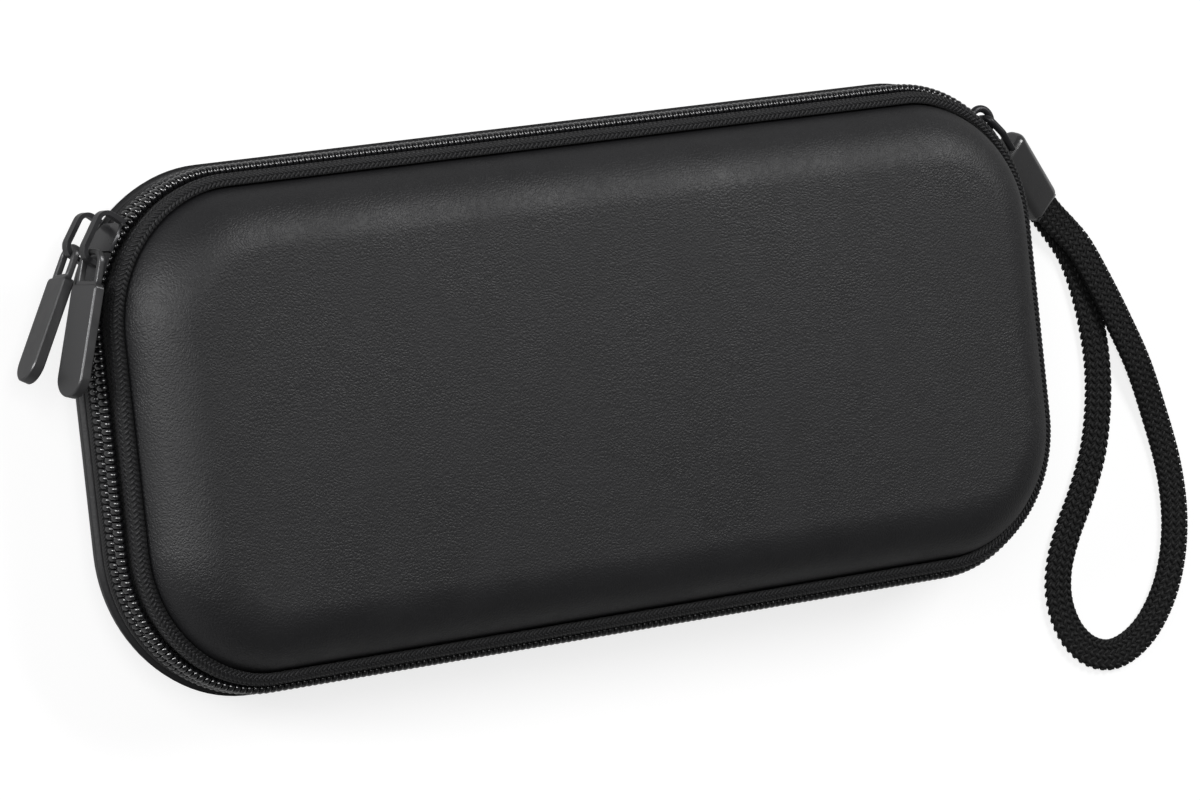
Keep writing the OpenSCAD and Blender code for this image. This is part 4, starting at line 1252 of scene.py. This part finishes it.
def evenly(line, spacing):
    """The same line with points at an even spacing."""
    run = lengths_along(line)
    count = max(2, round(run[-1] / spacing))
    points = []
    for i in range(count + 1):
        k, t = stretch_at(run, run[-1] * i / count)
        points.append(line[k].lerp(line[k + 1], t))
    return points


def add_bands():
    """Two elastic retaining bands over the recess."""
    reach = BAY_Y + BAY_R + 2 * MM
    for side, name in ((-1, "left"), (1, "right")):
        line = [Vector((side * BAND_X, -reach + 2 * reach * i / 214, CRADLE_TOP + 0.05 * MM + BAND_T / 2))
                for i in range(215)]
        band = flat_tape("retaining_band_%s_web" % name, line, BAND_W / 2, BAND_T / 2, 16, 0.08 * MM,
                         1.5 * MM)
        finish_piece(band, ELASTIC_CLOTH, "base", "retaining_band_" + name)


def add_inside(grain):
    """Pieces inside the closed case."""
    add_cradle()
    add_bands()
    add_flap(grain)
    add_sleeves(grain)
    lining = add_shell("front_lining_cloth", "front_lining", LINING_X, LINING_R,
                       LINING_TOP - FRONT_RIM_Z - 0.2 * MM, 0.8 * MM, LINING_TOP, 0, LINING_CLOTH, "lid")
    add_net()


# Floor and light

def add_floor():
    """White floor that keeps the case's shadow; its paper white shows in the camera and in reflections."""
    size = 6.0
    low = -0.1 * MM
    square = [(-size, -size, low), (size, -size, low), (size, size, low), (-size, size, low)]
    floor = new_piece("floor", square, [(0, 1, 2, 3)], smooth=False)
    material, tree, shader, coords = new_material("floor_white", (0.3, 0.3, 0.3), 0.9)
    speckle = add_noise(tree, coords.outputs["Object"], 40.0)
    add_shades(tree, shader, speckle.outputs[0], (0.295, 0.295, 0.295), (0.305, 0.305, 0.305))
    rays = tree.nodes.new("ShaderNodeLightPath")
    seen = add_math(tree, "MAXIMUM", rays.outputs["Is Camera Ray"], rays.outputs["Is Transmission Ray"])
    mirrored = add_math(tree, "MULTIPLY_ADD", rays.outputs["Is Glossy Ray"], FLOOR_MIRRORED, seen)
    glow = add_math(tree, "MULTIPLY", mirrored, FLOOR_GLOW)
    paper = add_node(tree, "ShaderNodeEmission", [("Strength", glow)])
    both = add_node(tree, "ShaderNodeAddShader", [(0, shader.outputs[0]), (1, paper.outputs[0])])
    tree.links.new(both.outputs[0], tree.nodes["Material Output"].inputs["Surface"])
    floor.data.materials.append(material)


def add_softbox(name, at, width, height, power):
    """Rectangular light that faces the case."""
    data = bpy.data.lights.new(name, "AREA")
    data.energy = power
    data.shape = "RECTANGLE"
    data.size, data.size_y = width, height
    light = bpy.data.objects.new(name, data)
    bpy.context.collection.objects.link(light)
    light.location = at
    light.rotation_mode = "QUATERNION"
    light.rotation_quaternion = (LIGHTS_AIM - Vector(at)).to_track_quat("-Z", "Y")


def add_studio():
    """White background for the camera, dim for all else, and three softboxes."""
    world = bpy.data.worlds.new("studio")
    bpy.context.scene.world = world
    world.use_nodes = True
    tree = world.node_tree
    back = tree.nodes["Background"]
    back.inputs["Color"].default_value = (1, 1, 1, 1)
    rays = tree.nodes.new("ShaderNodeLightPath")
    level = add_node(tree, "ShaderNodeMapRange", [("Value", rays.outputs["Is Camera Ray"]),
                                                   ("To Min", 0.1), ("To Max", 1.0)])
    tree.links.new(level.outputs[0], back.inputs["Strength"])
    add_softbox("upper_right_softbox", (0.85, 0.62, 1.05), 0.7, 0.5, 10.5)
    add_softbox("front_softbox", (-0.75, 0.35, 1.35), 0.6, 0.8, 8.8)
    add_softbox("left_softbox", (-1.2, 0.4, 0.42), 0.3, 0.7, 11)
    bpy.context.scene.view_settings.view_transform = "Standard"


add_camera()
YARN = yarn_grain()
TURN = coil_turn()
add_wrist_strap(YARN)
add_shells()
add_front_binding(YARN)
add_tapes()
add_coils(TURN)
add_hardware()
add_inside(YARN)
for pattern in (YARN, TURN):
    bpy.data.objects.remove(pattern)
add_floor()
add_studio()
